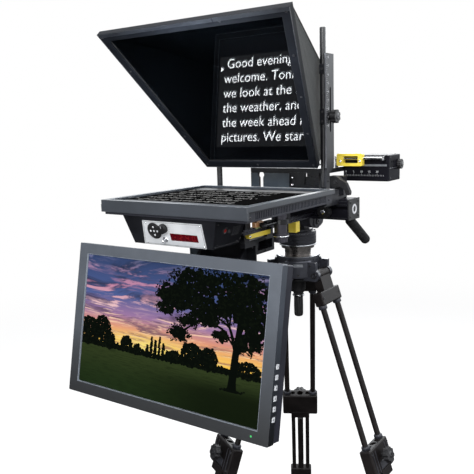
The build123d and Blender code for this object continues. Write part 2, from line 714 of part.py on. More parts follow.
@piece
def tm_hanger():
    """Box under the rails with two struts down to the monitor pivot."""
    tilt_cos, tilt_sin = cos(radians(TALENT_TILT)), sin(radians(TALENT_TILT))
    pivot_y = TALENT_TOP[1] + PIVOT_HEIGHT * tilt_sin + PIVOT_DEPTH * tilt_cos
    pivot_z = TALENT_TOP[2] + PIVOT_HEIGHT * tilt_cos - PIVOT_DEPTH * tilt_sin
    left, right = -104.0, 90.0
    hanger = soft(box(left, right, -356, -274, 1216, 1254), 3, Axis.Y)
    hanger = hanger - box(left - 1, right + 1, -347, -283, 1225, 1246)
    hanger = hanger - cyl_y((78, -352, 1236), 5.5, 20) - cyl_y((-88, -352, 1236), 5.5, 20)
    claw = box(80, 90, -306, -278, 1252, 1289)
    claw = claw + box(89, 94.9, -306, -278, GROOVE_Z - 1.9, GROOVE_Z + 1.9)
    strut = prism_x([                                    # y, z
        (-352, 1240), (-352, 1254), (-300, 1254), (-300, 1217), (-330, 1217),
        (pivot_y + 15, pivot_z - 14), (pivot_y - 10, pivot_z - 18),
        (pivot_y - 18, pivot_z), (pivot_y - 8, pivot_z + 17),
    ], 54, 64)
    strut = strut + cyl_x((59, pivot_y, pivot_z), 19, 10)
    strut = strut - cyl_x((59, pivot_y, pivot_z), 6.06, 30)
    support = claw + strut
    hanger = hanger + support + mirror_x(support)
    # apron that closes the gap above the monitor
    hanger = hanger + box(left, right, -356, -352, 1192, 1222)
    # clevis for the cam lever, ahead of the box
    hanger = hanger + (box(80, 92, -402, -350, 1240, 1254) - box(79, 90.1, -380, -300, 1246, 1247))
    hanger = hanger + box(84, 93.4, -406, -386, 1252, 1272)
    return hanger - cyl_x((90, CAM_Y, CAM_Z), 3.06, 20)


@piece
def hanger_cam_lever():
    lever = soft(box(94, 103.5, CAM_Y, -311, 1262, 1272.4), 2, Axis.X, rearmost=2)
    return lever + cyl_x((98.75, CAM_Y, CAM_Z), 5.2, 9.5) + cyl_x((91, CAM_Y, CAM_Z), 3.0, 18)


# ------------------------------------------------------------ beam-splitter frame and hood
SLOPE = radians(FRAME_ANGLE)
UP_SLOPE = Vector(0, -cos(SLOPE), sin(SLOPE))
INTO_HOOD = Vector(0, sin(SLOPE), cos(SLOPE))
FLARE = (FRAME_TOP_WIDTH - FRAME_BOTTOM_WIDTH) / 2 / FRAME_LENGTH


def frame_corners(end_inset, side_inset, depth):
    """Corners of the inset trapezium, at a depth into the hood."""
    low, high = end_inset, FRAME_LENGTH - end_inset
    corners = []
    for side, up in ((-1, low), (1, low), (1, high), (-1, high)):
        x = side * (FRAME_BOTTOM_WIDTH / 2 + FLARE * up - side_inset)
        point = FRAME_BASE + Vector(x, 0, 0) + UP_SLOPE * up + INTO_HOOD * depth
        corners.append((point.X, point.Y, point.Z))
    return corners


def trapezium(inset, depth0, depth1):
    """Plate of even inset from the frame outline, between two depths."""
    travel = INTO_HOOD * (depth1 - depth0)
    corners = frame_corners(inset, inset * sqrt(1 + FLARE * FLARE), depth0)
    return prism(corners, (travel.X, travel.Y, travel.Z))


@piece
def hood_frame():
    frame = trapezium(0, 0, FRAME_THICK) - trapezium(FRAME_MEMBER, -1, 6)
    return frame - trapezium(FRAME_MEMBER - 7, 5, FRAME_THICK + 1)


@piece
def beam_splitter_glass():
    return trapezium(FRAME_MEMBER - 6.8, 5.1, 5.1 + GLASS_THICK)


def hood_volume(inset, overrun):
    """Loft from the frame to the rear, run past both ends by overrun."""
    front = frame_corners(3 + inset, 3 + inset, FRAME_THICK + 0.1 - overrun)
    half, y = HOOD_REAR_HALF - inset, HOOD_REAR_Y + overrun
    low, high = HOOD_REAR_Z[0] + inset, HOOD_REAR_Z[1] - inset
    rear = [(-half, y, low), (half, y, low), (half, y, high), (-half, y, high)]
    return loft([polygon(front), polygon(rear)], ruled=True)


@piece
def hood_shell():
    shell = hood_volume(0, 0) - hood_volume(HOOD_WALL, 2.0)
    half = HOOD_REAR_HALF - 3
    rear = box(-half, half, HOOD_REAR_Y - 4, HOOD_REAR_Y, HOOD_REAR_Z[0] + 3, HOOD_REAR_Z[1] - 3)
    lens_port = box(-78, 78, HOOD_REAR_Y - 10, HOOD_REAR_Y + 10, 1474, 1618)
    return shell + (rear - lens_port)


@piece
def hood_rod_clamps():
    low, high = HOOD_KNOB_Z - 18, HOOD_KNOB_Z + 18
    clamp = box(154, 167.5, -157, -130, low, high) + box(154, 167.5, -157, -130, 1628, 1650)
    clamp = clamp + box(145.8, 154.5, -137.8, -130, low, 1650)
    clamp = clamp - cyl_z((ROD_X, ROD_Y, 1580), ROD_RADIUS + CLEARANCE, 400)
    # only the right clamp takes the knob's screw
    right = clamp - cyl_x((167, HOOD_KNOB_Y, HOOD_KNOB_Z), 3.06, 2.4)
    return Compound(children=[right, mirror_x(clamp)])


@piece
def hood_knob():
    y, z = HOOD_KNOB_Y, HOOD_KNOB_Z
    knob = cyl_x((173.6, y, z), 3.0, 14.8) + cyl_x((185.5, y, z), 16, 14)
    knob = knob + cyl_x((177, y, z), 8, 7)
    return fluted(knob, cyl_x, (185.5, y, z), 19.5, 7, 6, 20)
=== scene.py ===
# A camera-mounted teleprompter with its hood, talent monitor and control box, on a head and
# tripod. +Z is up and -Y is the front, where the talent stands. The origin is the camera
# screw on top of the camera plate. Lengths are millimetres unless a comment says metres.
import bpy
import bmesh
import json
import random
from itertools import product
from math import sin, cos, pi, radians, atan2, sqrt, exp
from mathutils import Vector, Matrix, noise as mnoise


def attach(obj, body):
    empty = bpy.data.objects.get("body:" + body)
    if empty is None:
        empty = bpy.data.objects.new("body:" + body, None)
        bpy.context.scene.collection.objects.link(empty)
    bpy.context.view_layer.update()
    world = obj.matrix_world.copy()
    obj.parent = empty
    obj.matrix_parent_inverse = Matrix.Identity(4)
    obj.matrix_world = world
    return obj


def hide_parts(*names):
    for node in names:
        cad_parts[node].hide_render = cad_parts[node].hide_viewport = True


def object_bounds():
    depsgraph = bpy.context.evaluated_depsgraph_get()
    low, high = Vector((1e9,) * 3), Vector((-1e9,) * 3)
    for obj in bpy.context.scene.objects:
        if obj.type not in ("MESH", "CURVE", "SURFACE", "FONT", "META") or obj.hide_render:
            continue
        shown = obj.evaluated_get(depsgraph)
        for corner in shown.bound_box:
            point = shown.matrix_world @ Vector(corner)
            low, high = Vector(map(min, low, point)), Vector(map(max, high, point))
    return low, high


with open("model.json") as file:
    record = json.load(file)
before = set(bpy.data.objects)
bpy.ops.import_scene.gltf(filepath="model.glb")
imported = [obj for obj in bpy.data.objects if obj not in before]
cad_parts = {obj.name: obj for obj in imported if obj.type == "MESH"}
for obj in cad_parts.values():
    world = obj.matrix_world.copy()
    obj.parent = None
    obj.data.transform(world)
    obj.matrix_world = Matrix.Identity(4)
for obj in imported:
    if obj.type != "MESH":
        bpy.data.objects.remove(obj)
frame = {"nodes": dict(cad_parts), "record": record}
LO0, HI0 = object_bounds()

NODES = frame["nodes"]
MM = 0.001
SIDES = (-1, 1)
X, Y, Z = Vector((1, 0, 0)), Vector((0, 1, 0)), Vector((0, 0, 1))

# The camera screw, measured from the floor under the pan axis.
SCREW_X, SCREW_Y, SCREW_Z = 0.0, 35.0, 1396.0


def at(x, y, z):
    """Scene point for millimetres measured from the floor under the pan axis."""
    return Vector(((x - SCREW_X) / 1000, (y - SCREW_Y) / 1000, (z - SCREW_Z) / 1000))


def local(x, y, z):
    """Millimetres in an object's own frame."""
    return Vector((x * MM, y * MM, z * MM))


# ------------------------------------------------------------------ node graphs
def scaled(colour, gain):
    return tuple(channel * gain for channel in colour)


class Graph:
    """A node tree being built; every input takes a socket or a plain value."""

    def __init__(self, owner, output="OutputMaterial"):
        owner.use_nodes = True
        self.owner = owner
        self.tree = owner.node_tree
        self.tree.nodes.clear()
        self.out = self.node(output)
        self.coords = self.node("TexCoord").outputs

    def feed(self, socket, value):
        if isinstance(value, bpy.types.NodeSocket):
            self.tree.links.new(value, socket)
        elif value is not None:
            if isinstance(value, (tuple, list)) and len(value) == 3 and socket.type == "RGBA":
                value = (*value, 1.0)
            socket.default_value = value

    def node(self, kind, inputs=(), **settings):
        made = self.tree.nodes.new("ShaderNode" + kind)
        for key, value in settings.items():
            setattr(made, key, value)
        for key, value in dict(inputs).items():
            self.feed(made.inputs[key], value)
        return made

    def math(self, operation, a, b=None, clamp=False):
        return self.node("Math", {0: a, 1: b}, operation=operation, use_clamp=clamp).outputs[0]

    def mul(self, a, b):
        return self.math("MULTIPLY", a, b)

    def add(self, a, b, clamp=False):
        return self.math("ADD", a, b, clamp)

    def sub(self, a, b, clamp=False):
        return self.math("SUBTRACT", a, b, clamp)

    def mix(self, factor, a, b):
        return self.node("Mix", {0: factor, 6: a, 7: b}, data_type="RGBA").outputs[2]

    def blend(self, factor, a, b):
        return self.node("MixShader", {0: factor, 1: a, 2: b}).outputs[0]

    def xyz(self, vec=None):
        return self.node("SeparateXYZ", {0: vec or self.coords["Object"]}).outputs

    def noise(self, scale, detail=3.0, rough=0.55, vec=None, distort=0.0):
        return self.node("TexNoise", {
            "Vector": vec or self.coords["Object"], "Scale": scale, "Detail": detail,
            "Roughness": rough, "Distortion": distort}).outputs["Fac"]

    def mapping(self, scale=(1, 1, 1), rot=(0, 0, 0), loc=(0, 0, 0), vec=None):
        return self.node("Mapping", {
            "Vector": vec or self.coords["Object"], "Scale": scale, "Rotation": rot,
            "Location": loc}).outputs["Vector"]

    def ramp(self, factor, stops):
        made = self.node("ValToRGB", {0: factor})
        elements = made.color_ramp.elements
        while len(elements) < len(stops):
            elements.new(0.5)
        for element, (position, colour) in zip(elements, stops):
            element.position = position
            element.color = (*colour, 1.0)
        return made.outputs["Color"]

    def ease(self, value, low, high):
        """0 below low, 1 above high, smooth between."""
        return self.node("MapRange", {"Value": value, "From Min": low, "From Max": high},
                         interpolation_type="SMOOTHSTEP").outputs["Result"]

    def linear(self, value, low, high, to_low, to_high):
        return self.node("MapRange", {
            "Value": value, "From Min": low, "From Max": high,
            "To Min": to_low, "To Max": to_high}).outputs["Result"]

    def bump(self, height, strength, distance, normal=None):
        return self.node("Bump", {"Strength": strength, "Distance": distance,
                                  "Height": height, "Normal": normal}).outputs["Normal"]

    def principled(self, colour, rough, metal=0.0, normal=None, spec=0.5, coat=0.0,
                   coat_rough=0.1, sheen=0.0, emit=None, emit_strength=None):
        return self.node("BsdfPrincipled", {
            "Base Color": colour, "Roughness": rough, "Metallic": metal,
            "Specular IOR Level": spec, "Coat Weight": coat, "Coat Roughness": coat_rough,
            "Sheen Weight": sheen, "Normal": normal, "Emission Color": emit,
            "Emission Strength": emit_strength}).outputs[0]

    def done(self, shader):
        self.feed(self.out.inputs["Surface"], shader)


# ------------------------------------------------------------------ materials
MATS = {}


def new_material(name):
    MATS[name] = bpy.data.materials.new(name)
    return Graph(MATS[name])


def surface(name, low, high, rough, spread, metal, blotch, grain, strength, depth, wear,
            wear_col, dust, dust_col, bevel=0.0009, spec=0.5, coat=0.0, streak=None,
            leather=False, foot=None, mute=0.0, grad=None):
    """A painted, moulded or machined finish: drifting colour, grain, hairline scratches,
    handled edges and settled dust. Columns are explained above FINISHES."""
    mat = new_material(name)
    patch = mat.ease(mat.noise(blotch, 4.0, 0.6), 0.32, 0.68)

    def tone(gain):
        return mat.mix(patch, scaled(low, gain), scaled(high, gain))

    # painted shade and painted light: the colour darkens towards the lower height and brightens
    # towards the upper one, standing in for light from above
    if grad:
        z_low, z_high, gain_low, gain_high = grad
        rise = mat.ease(mat.xyz()["Z"], z_low, z_high)
        col = mat.mix(rise, tone(gain_low), tone(gain_high))
    else:
        col = tone(1.0)
    normal = mat.node("Bevel", {"Radius": bevel}, samples=3).outputs["Normal"]
    geometry = mat.node("NewGeometry").outputs
    # handled edges: where the rounded normal leaves the face normal
    facing = mat.node("VectorMath", {0: normal, 1: geometry["True Normal"]},
                      operation="DOT_PRODUCT").outputs["Value"]
    edge = mat.ease(mat.sub(1.0, facing), 0.02, 0.28)
    edge = mat.mul(edge, mat.ease(mat.noise(120.0), 0.35, 0.7))
    col = mat.mix(mat.mul(edge, wear), col, wear_col)
    # hairline scratches in two directions, in scattered patches
    lines_a = mat.noise(1.0, 2.0, 0.5, mat.mapping((60, 1400, 500), (0.2, 0.1, 0.7)))
    lines_b = mat.noise(1.0, 2.0, 0.5, mat.mapping((1300, 50, 420), (0.5, 0.3, 0.2)))
    scratch = mat.math("MAXIMUM", mat.ease(lines_a, 0.70, 0.76), mat.ease(lines_b, 0.71, 0.77))
    scratch = mat.mul(scratch, mat.ease(mat.noise(22.0, 2.0), 0.5, 0.62))
    # dust on what faces up
    settled = mat.mul(mat.ease(mat.xyz(geometry["Normal"])["Z"], 0.55, 0.98),
                      mat.ease(mat.noise(45.0, 5.0, 0.7), 0.4, 0.75))
    settled = mat.mul(settled, dust)
    col = mat.mix(settled, col, dust_col)
    shine = mat.add(rough - spread / 2, mat.mul(mat.noise(blotch * 3.1, 4.0, 0.65), spread))
    shine = mat.add(shine, mat.mul(settled, 0.5))
    shine = mat.sub(shine, mat.mul(scratch, 0.036), clamp=True)
    if leather:
        height = mat.node("TexVoronoi", {"Vector": mat.coords["Object"], "Scale": grain},
                          feature="F1").outputs["Distance"]
    else:
        height = mat.noise(grain, 2.0, 0.6)
    if streak:
        brushed = mat.noise(1.0, 3.0, 0.6, mat.mapping(streak))
        height = mat.add(mat.mul(height, 0.3), mat.mul(brushed, 0.9))
        shine = mat.add(shine, mat.mul(mat.sub(brushed, 0.5), 0.25), clamp=True)
    height = mat.sub(height, mat.mul(scratch, 0.18))
    normal = mat.bump(height, strength, depth, normal)
    if foot is not None:
        # matte rubber below the given height
        is_foot = mat.math("LESS_THAN", mat.xyz()["Z"], foot)
        rubber = mat.mix(mat.noise(300.0), (0.010, 0.010, 0.010), (0.022, 0.021, 0.020))
        col = mat.mix(is_foot, col, rubber)
        shine = mat.add(mat.mul(shine, mat.sub(1.0, is_foot)), mat.mul(is_foot, 0.82))
        metal = mat.mul(mat.sub(1.0, is_foot), metal)
    shader = mat.principled(col, shine, metal, normal, spec, coat, coat_rough=0.15)
    if mute:
        # mirror rays get a dimmer view of this finish
        rays = mat.node("LightPath").outputs
        black = mat.node("Emission", {"Strength": 0.0}).outputs[0]
        shader = mat.blend(mat.mul(rays["Is Glossy Ray"], mute), shader, black)
    mat.done(shader)


PALE, DARK = (0.36, 0.35, 0.33), (0.10, 0.10, 0.105)    # dust colours

# name, low and high colour, roughness, its spread, metallic,
#   blotch scale, grain scale, bump strength and depth (m), edge wear, its colour, dust, its colour,
#   options: bevel radius (m); streak: texture scale per axis; leather: cell grain;
#   foot: height (m) below which it is rubber; mute: share hidden from mirror rays;
#    gradient of painted shade and painted light: two heights (m) and the brightness gain at each
FINISHES = (
    ("cast_black", (0.014, 0.0145, 0.019), (0.026, 0.027, 0.035), 0.46, 0.14, 0.0,
     18, 900, 0.50, 0.00035, 0.35, (0.14, 0.14, 0.16), 0.18, DARK, dict(spec=0.26)),
    ("black_anodised", (0.0062, 0.0066, 0.0085), (0.0115, 0.012, 0.0155), 0.38, 0.12, 0.0,
     12, 2200, 0.18, 0.0001, 0.42, (0.15, 0.155, 0.17), 0.10, DARK, dict(spec=0.28)),
    ("black_steel", (0.007, 0.007, 0.0085), (0.013, 0.013, 0.015), 0.26, 0.08, 0.0,
     20, 1800, 0.12, 0.00008, 0.25, (0.16, 0.16, 0.17), 0.05, DARK, dict(spec=0.35, coat=0.15)),
    ("leg_black", (0.0070, 0.0058, 0.0058), (0.0125, 0.0105, 0.0105), 0.40, 0.12, 0.0,
     16, 1900, 0.16, 0.0001, 0.35, (0.15, 0.14, 0.14), 0.08, DARK,
     dict(spec=0.10, foot=at(0, 0, 23.2).z)),
    ("aluminium", (0.36, 0.37, 0.40), (0.48, 0.49, 0.51), 0.32, 0.14, 0.95,
     30, 2400, 0.22, 0.00008, 0.3, (0.8, 0.8, 0.82), 0.05, PALE, dict(streak=(900, 14, 900))),
    ("steel", (0.42, 0.42, 0.44), (0.55, 0.55, 0.56), 0.24, 0.12, 1.0,
     40, 2600, 0.2, 0.00006, 0.3, (0.85, 0.85, 0.86), 0.03, PALE, dict(streak=(14, 1200, 1200))),
    ("chrome", (0.66, 0.66, 0.68), (0.76, 0.76, 0.78), 0.10, 0.07, 1.0,
     60, 2000, 0.05, 0.00004, 0.1, (0.9, 0.9, 0.9), 0.02, PALE, {}),
    ("yellow_anodised", (0.93, 0.71, 0.070), (1.0, 0.81, 0.12), 0.34, 0.12, 0.1,
     40, 2000, 0.18, 0.0001, 0.4, (0.93, 0.86, 0.55), 0.05, PALE, {}),
    ("monitor_grey", (0.0185, 0.0225, 0.0295), (0.028, 0.033, 0.042), 0.36, 0.10, 0.0,
     8, 1300, 0.40, 0.0002, 0.45, (0.22, 0.26, 0.31), 0.05, DARK,
     dict(bevel=0.0014, spec=0.62, mute=0.92)),
    ("monitor_dark", (0.009, 0.0095, 0.015), (0.017, 0.018, 0.026), 0.46, 0.12, 0.0,
     9, 1300, 0.40, 0.0002, 0.35, (0.15, 0.16, 0.19), 0.05, DARK, dict(spec=0.28)),
    ("circuit_board", (0.01, 0.10, 0.03), (0.015, 0.15, 0.05), 0.35, 0.1, 0.0,
     60, 700, 0.5, 0.0003, 0.1, (0.30, 0.31, 0.33), 0.12, PALE, {}),
    ("vial_red", (0.55, 0.27, 0.11), (0.68, 0.36, 0.17), 0.24, 0.08, 0.0,
     120, 900, 0.1, 0.0001, 0.1, (0.30, 0.31, 0.33), 0.12, PALE, dict(coat=0.5)),
    ("white_panel", (0.56, 0.58, 0.61), (0.70, 0.72, 0.74), 0.33, 0.10, 0.15,
     16, 1800, 0.2, 0.0001, 0.3, (0.85, 0.86, 0.88), 0.04, PALE, dict(streak=(16, 1500, 1500))),
    ("key_white", (0.50, 0.52, 0.56), (0.62, 0.64, 0.67), 0.42, 0.10, 0.0,
     60, 1800, 0.2, 0.0001, 0.2, (0.30, 0.31, 0.33), 0.12, PALE, {}),
    ("black_plastic", (0.007, 0.007, 0.008), (0.013, 0.013, 0.0145), 0.48, 0.12, 0.0,
     24, 1100, 0.55, 0.00025, 0.2, (0.12, 0.12, 0.13), 0.08, DARK, dict(spec=0.3, leather=True)),
    ("foam_rubber", (0.008, 0.008, 0.009), (0.015, 0.015, 0.016), 0.86, 0.1, 0.0,
     60, 1500, 0.9, 0.0005, 0.05, (0.1, 0.1, 0.1), 0.12, DARK, dict(spec=0.2, leather=True)),
    ("zinc", (0.40, 0.41, 0.43), (0.52, 0.52, 0.54), 0.30, 0.12, 1.0,
     90, 2000, 0.15, 0.00006, 0.3, (0.8, 0.8, 0.8), 0.12, PALE, {}),
    ("black_screw", (0.011, 0.011, 0.013), (0.022, 0.022, 0.025), 0.28, 0.10, 0.2,
     120, 2400, 0.2, 0.00006, 0.4, (0.2, 0.2, 0.21), 0.12, PALE, dict(spec=0.4)),
    ("tripod_trim", (0.22, 0.23, 0.25), (0.30, 0.31, 0.33), 0.35, 0.12, 0.9,
     60, 2000, 0.2, 0.0001, 0.3, (0.30, 0.31, 0.33), 0.12, PALE, {}),
    ("rail_dark", (0.018, 0.018, 0.026), (0.034, 0.034, 0.046), 0.26, 0.10, 0.55,
     30, 2400, 0.2, 0.00008, 0.4, (0.30, 0.30, 0.34), 0.05, DARK, dict(streak=(900, 14, 900))),
    # tripod crown: a lighter, part-metallic copy of the cast finish; the extra lightness is partly
    # the casting's grey and partly painted light for the lit top of the tripod
    ("crown_black", (0.034, 0.036, 0.046), (0.058, 0.061, 0.076), 0.30, 0.12, 0.3,
     18, 900, 0.5, 0.0003, 0.4, (0.22, 0.22, 0.25), 0.15, DARK, {}),
    ("neck_metal", (0.11, 0.10, 0.095), (0.17, 0.155, 0.145), 0.28, 0.12, 0.9,
     24, 2000, 0.2, 0.0001, 0.4, (0.5, 0.48, 0.46), 0.08, DARK, dict(streak=(14, 14, 900))),
    ("frame_matte", (0.0052, 0.0058, 0.0075), (0.0095, 0.0105, 0.0132), 0.55, 0.12, 0.0,
     12, 2200, 0.18, 0.0001, 0.30, (0.08, 0.085, 0.10), 0.02, DARK, dict(spec=0.05)),
    ("box_black", (0.0048, 0.0048, 0.0068), (0.0085, 0.0085, 0.0118), 0.42, 0.12, 0.0,
     12, 2200, 0.18, 0.0001, 0.42, (0.10, 0.10, 0.12), 0.03, DARK, dict(spec=0.03)),
    ("post_satin", (0.040, 0.038, 0.048), (0.062, 0.059, 0.073), 0.34, 0.12, 0.5,
     24, 2000, 0.2, 0.0001, 0.4, (0.30, 0.29, 0.33), 0.05, DARK,
     dict(spec=0.4, streak=(900, 900, 14))),
    # talent monitor bezel: the monitor finish with painted shade low down and painted light high up
    ("bezel_grey", (0.0185, 0.0225, 0.0295), (0.028, 0.033, 0.042), 0.36, 0.10, 0.0,
     8, 1300, 0.40, 0.0002, 0.45, (0.22, 0.26, 0.31), 0.05, DARK,
     dict(bevel=0.0014, spec=0.55, grad=(-0.50, -0.22, 0.12, 1.75))),
    # pale metallic colour of the talent monitor's inner lip: a painted highlight
    ("bezel_lip", (0.16, 0.18, 0.21), (0.22, 0.24, 0.28), 0.30, 0.1, 0.6,
     40, 1800, 0.15, 0.0001, 0.3, (0.6, 0.62, 0.65), 0.12, PALE, {}),
    # pale colour of the tubes along the prompter bezel's edges: painted highlights
    ("bezel_bead", (0.055, 0.066, 0.083), (0.08, 0.094, 0.112), 0.32, 0.1, 0.2,
     30, 1800, 0.15, 0.0001, 0.3, (0.5, 0.52, 0.55), 0.12, PALE, {}),
    ("vial_green", (0.26, 0.33, 0.14), (0.34, 0.42, 0.18), 0.12, 0.05, 0.0,
     200, 900, 0.05, 0.0001, 0.1, (0.30, 0.31, 0.33), 0.12, PALE, dict(coat=1.0)),
    ("frame_edge", (0.012, 0.013, 0.016), (0.022, 0.024, 0.029), 0.38, 0.12, 0.0,
     20, 1700, 0.2, 0.0001, 0.3, (0.18, 0.185, 0.20), 0.08, DARK, dict(spec=0.3)),
    ("bracket_face", (0.050, 0.065, 0.083), (0.075, 0.093, 0.112), 0.36, 0.12, 0.2,
     14, 1700, 0.2, 0.0001, 0.3, (0.45, 0.48, 0.52), 0.12, PALE, dict(streak=(14, 900, 900))),
    ("white_ink", (0.55, 0.56, 0.60), (0.68, 0.69, 0.72), 0.55, 0.1, 0.0,
     90, 1600, 0.2, 0.00005, 0.1, (0.30, 0.31, 0.33), 0.12, PALE, {}),
    ("upright_edge", (0.16, 0.165, 0.185), (0.22, 0.225, 0.25), 0.33, 0.1, 0.7,
     30, 1800, 0.15, 0.0001, 0.3, (0.6, 0.6, 0.62), 0.12, PALE, {}),
)
for *columns, options in FINISHES:
    surface(*columns, **options)


def glass_material():
    """Part-mirrored plate: what lies behind shows dimmed, with a share of mirror image."""
    mat = new_material("glass")
    dimmed = mat.node("BsdfTransparent", {"Color": (0.36, 0.38, 0.39)}).outputs[0]
    smear = mat.mul(mat.ease(mat.noise(9.0, 5.0, 0.7), 0.5, 0.8), 0.12)
    tint = mat.mix(smear, (0.93, 0.96, 1.0), (0.80, 0.84, 0.88))
    mirror = mat.node("BsdfGlossy", {"Roughness": 0.0, "Color": tint}).outputs[0]
    seen = mat.blend(0.10, dimmed, mirror)
    # shadow and bounce rays pass
    rays = mat.node("LightPath").outputs
    passing = mat.node("BsdfTransparent", {"Color": (0.6, 0.6, 0.6)}).outputs[0]
    mat.done(mat.blend(mat.sub(1.0, rays["Is Camera Ray"]), seen, passing))


def screen_material():
    mat = new_material("screen_black")
    col = mat.mix(mat.noise(40.0), (0.0035, 0.0038, 0.005), (0.006, 0.0065, 0.008))
    rough = mat.add(0.16, mat.mul(mat.noise(60.0, 4.0), 0.10))
    normal = mat.bump(mat.noise(5000.0, 1.0), strength=0.05, distance=0.00005)
    mat.done(mat.principled(col, mat.add(rough, 0.2), normal=normal, spec=0.06))


def red_window_material():
    mat = new_material("red_window")
    col = mat.mix(mat.noise(90.0), (0.035, 0.002, 0.004), (0.06, 0.004, 0.007))
    normal = mat.bump(mat.noise(900.0, 2.0), strength=0.05, distance=0.0001)
    mat.done(mat.principled(col, 0.10, normal=normal, spec=0.6, coat=0.8,
                            emit=(0.12, 0.0, 0.005), emit_strength=0.4))


glass_material()
screen_material()
red_window_material()


def emission(name, colour, seen, mirrored=None, scale=200.0):
    """Lit surface: one brightness for the eye, another as seen in the mirror glass."""
    mat = new_material(name)
    if mirrored is not None:
        rays = mat.node("LightPath").outputs
        seen = mat.add(mat.mul(rays["Is Camera Ray"], seen),
                       mat.mul(rays["Is Glossy Ray"], mirrored))
    mottle = mat.mul(mat.noise(scale, 2.0), 0.12)
    colour = mat.mix(mottle, colour, scaled(colour, 0.5))
    mat.done(mat.node("Emission", {"Color": colour, "Strength": seen}).outputs[0])


# name, colour, brightness to the eye, brightness in the mirror, mottle scale
for glow in (
    ("lcd_glow", (0.96, 0.97, 1.0), 0.0075, 0.105, 30.0),
    ("lcd_glyph", (1.0, 1.0, 1.0), 0.36, 11.0),
    ("leaf_dark", (0.0030, 0.0045, 0.0032), 1.0),
    ("leaf_mid", (0.0048, 0.0072, 0.0042), 1.0),
    ("leaf_warm", (0.045, 0.026, 0.012), 1.0),
    ("led_green", (0.10, 0.75, 0.22), 0.9, 0.5),
    ("led_red", (0.40, 0.03, 0.03), 0.32, 0.2),
    ("digit_red", (1.0, 0.06, 0.05), 0.22, 0.2),
    ("digit_dim", (1.0, 0.06, 0.05), 0.035, 0.03),
):
    emission(*glow)


def fabric(name, low, high, pitch, sheen, lint=0.12):
    """Plain weave: crossed warp and weft waves with fuzz, lint and slow colour drift."""
    mat = new_material(name)
    threads = 1 / pitch * 6.2832 / 20.0
    vec = mat.mapping()

    def wave(axis):
        return mat.node("TexWave", {"Vector": vec, "Scale": threads, "Distortion": 0.6},
                        wave_type="BANDS", bands_direction=axis).outputs["Fac"]

    warp, weft_z, weft_y = wave("X"), wave("Z"), wave("Y")
    weave = mat.add(mat.mul(warp, 0.4), mat.mul(mat.math("MAXIMUM", weft_z, weft_y), 0.6))
    fuzz = mat.noise(2600.0, 3.0, 0.7)
    weave = mat.add(weave, mat.mul(fuzz, 0.5))
    col = mat.mix(mat.ease(mat.noise(11.0, 5.0, 0.65), 0.3, 0.7), low, high)
    col = mat.mix(mat.mul(weave, 0.35), col, scaled(high, 2.1))
    flecks = mat.mul(mat.ease(mat.noise(420.0, 2.0), 0.70, 0.74), lint)
    col = mat.mix(flecks, col, (0.10, 0.10, 0.10))
    normal = mat.bump(mat.noise(26.0, 4.0, 0.6), strength=0.25, distance=0.002)
    normal = mat.bump(weave, 0.7, 0.0003, normal)
    rough = mat.add(0.82, mat.mul(fuzz, 0.12))
    mat.done(mat.principled(col, rough, normal=normal, spec=0.10, sheen=sheen))


# pitch in metres
fabric("hood_cloth", (0.0125, 0.0145, 0.0150), (0.0185, 0.0205, 0.0205), pitch=0.0011, sheen=0.06)
fabric("hood_lining", (0.012, 0.0145, 0.019), (0.018, 0.0215, 0.027),
       pitch=0.0009, sheen=0.0, lint=0.05)
fabric("binding", (0.0035, 0.0036, 0.0042), (0.006, 0.006, 0.0068),
       pitch=0.0008, sheen=0.02, lint=0.05)
fabric("thread", (0.05, 0.05, 0.05), (0.075, 0.075, 0.075), pitch=0.0005, sheen=0.3)

# Pieces that take another finish than the one their record names.
OWN_FINISH = {
    "tm_bezel": "bezel_grey", "carriage_rails": "rail_dark", "crown_casting": "crown_black",
    "half_ball_neck": "neck_metal", "pm_posts": "post_satin", "hood_frame": "frame_matte",
    "side_box": "box_black", "cross_beam": "box_black", "post_clamp_lever": "black_steel"}
slot_of = {part["node"]: part["material_slot"] for part in frame["record"]["subparts"]}
for node, piece in NODES.items():
    piece.data.materials.clear()
    piece.data.materials.append(MATS[OWN_FINISH.get(node, slot_of[node])])


# ------------------------------------------------------------------ mesh helpers
def new_obj(name, verts, faces, mats, body, smooth=None, indices=None, matrix=None):
    """mats is one material name or a list of them."""
    mesh = bpy.data.meshes.new(name)
    mesh.from_pydata([tuple(v) for v in verts], [], [tuple(f) for f in faces])
    for mat in [mats] if isinstance(mats, str) else mats:
        mesh.materials.append(MATS[mat])
    if indices is not None:
        for face, index in zip(mesh.polygons, indices):
            face.material_index = index
    if smooth is not None:
        for face, flag in zip(mesh.polygons, smooth):
            face.use_smooth = bool(flag)
    mesh.validate()
    mesh.update()
    made = bpy.data.objects.new(name, mesh)
    bpy.context.scene.collection.objects.link(made)
    if matrix is not None:
        made.matrix_world = matrix
    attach(made, body)
    return made


def basis(axis):
    axis = Vector(axis).normalized()
    guide = Z if abs(axis.z) < 0.9 else X
    side = guide.cross(axis).normalized()
    return side, axis.cross(side).normalized(), axis


def bridge(ring_a, ring_b):
    """Quads between two closed rings of vertex numbers."""
    count = len(ring_a)
    return [(ring_a[i], ring_a[(i + 1) % count], ring_b[(i + 1) % count], ring_b[i])
            for i in range(count)]


def turned_radius(radius, angle):
    """radius is a number, ("hex", corner radius) or ("flute", radius, count, depth)."""
    if not isinstance(radius, tuple):
        return radius
    if radius[0] == "hex":
        return radius[1] * cos(pi / 6) / cos((angle % (pi / 3)) - pi / 6)
    return radius[1] - radius[3] * (0.5 + 0.5 * cos(angle * radius[2])) ** 2


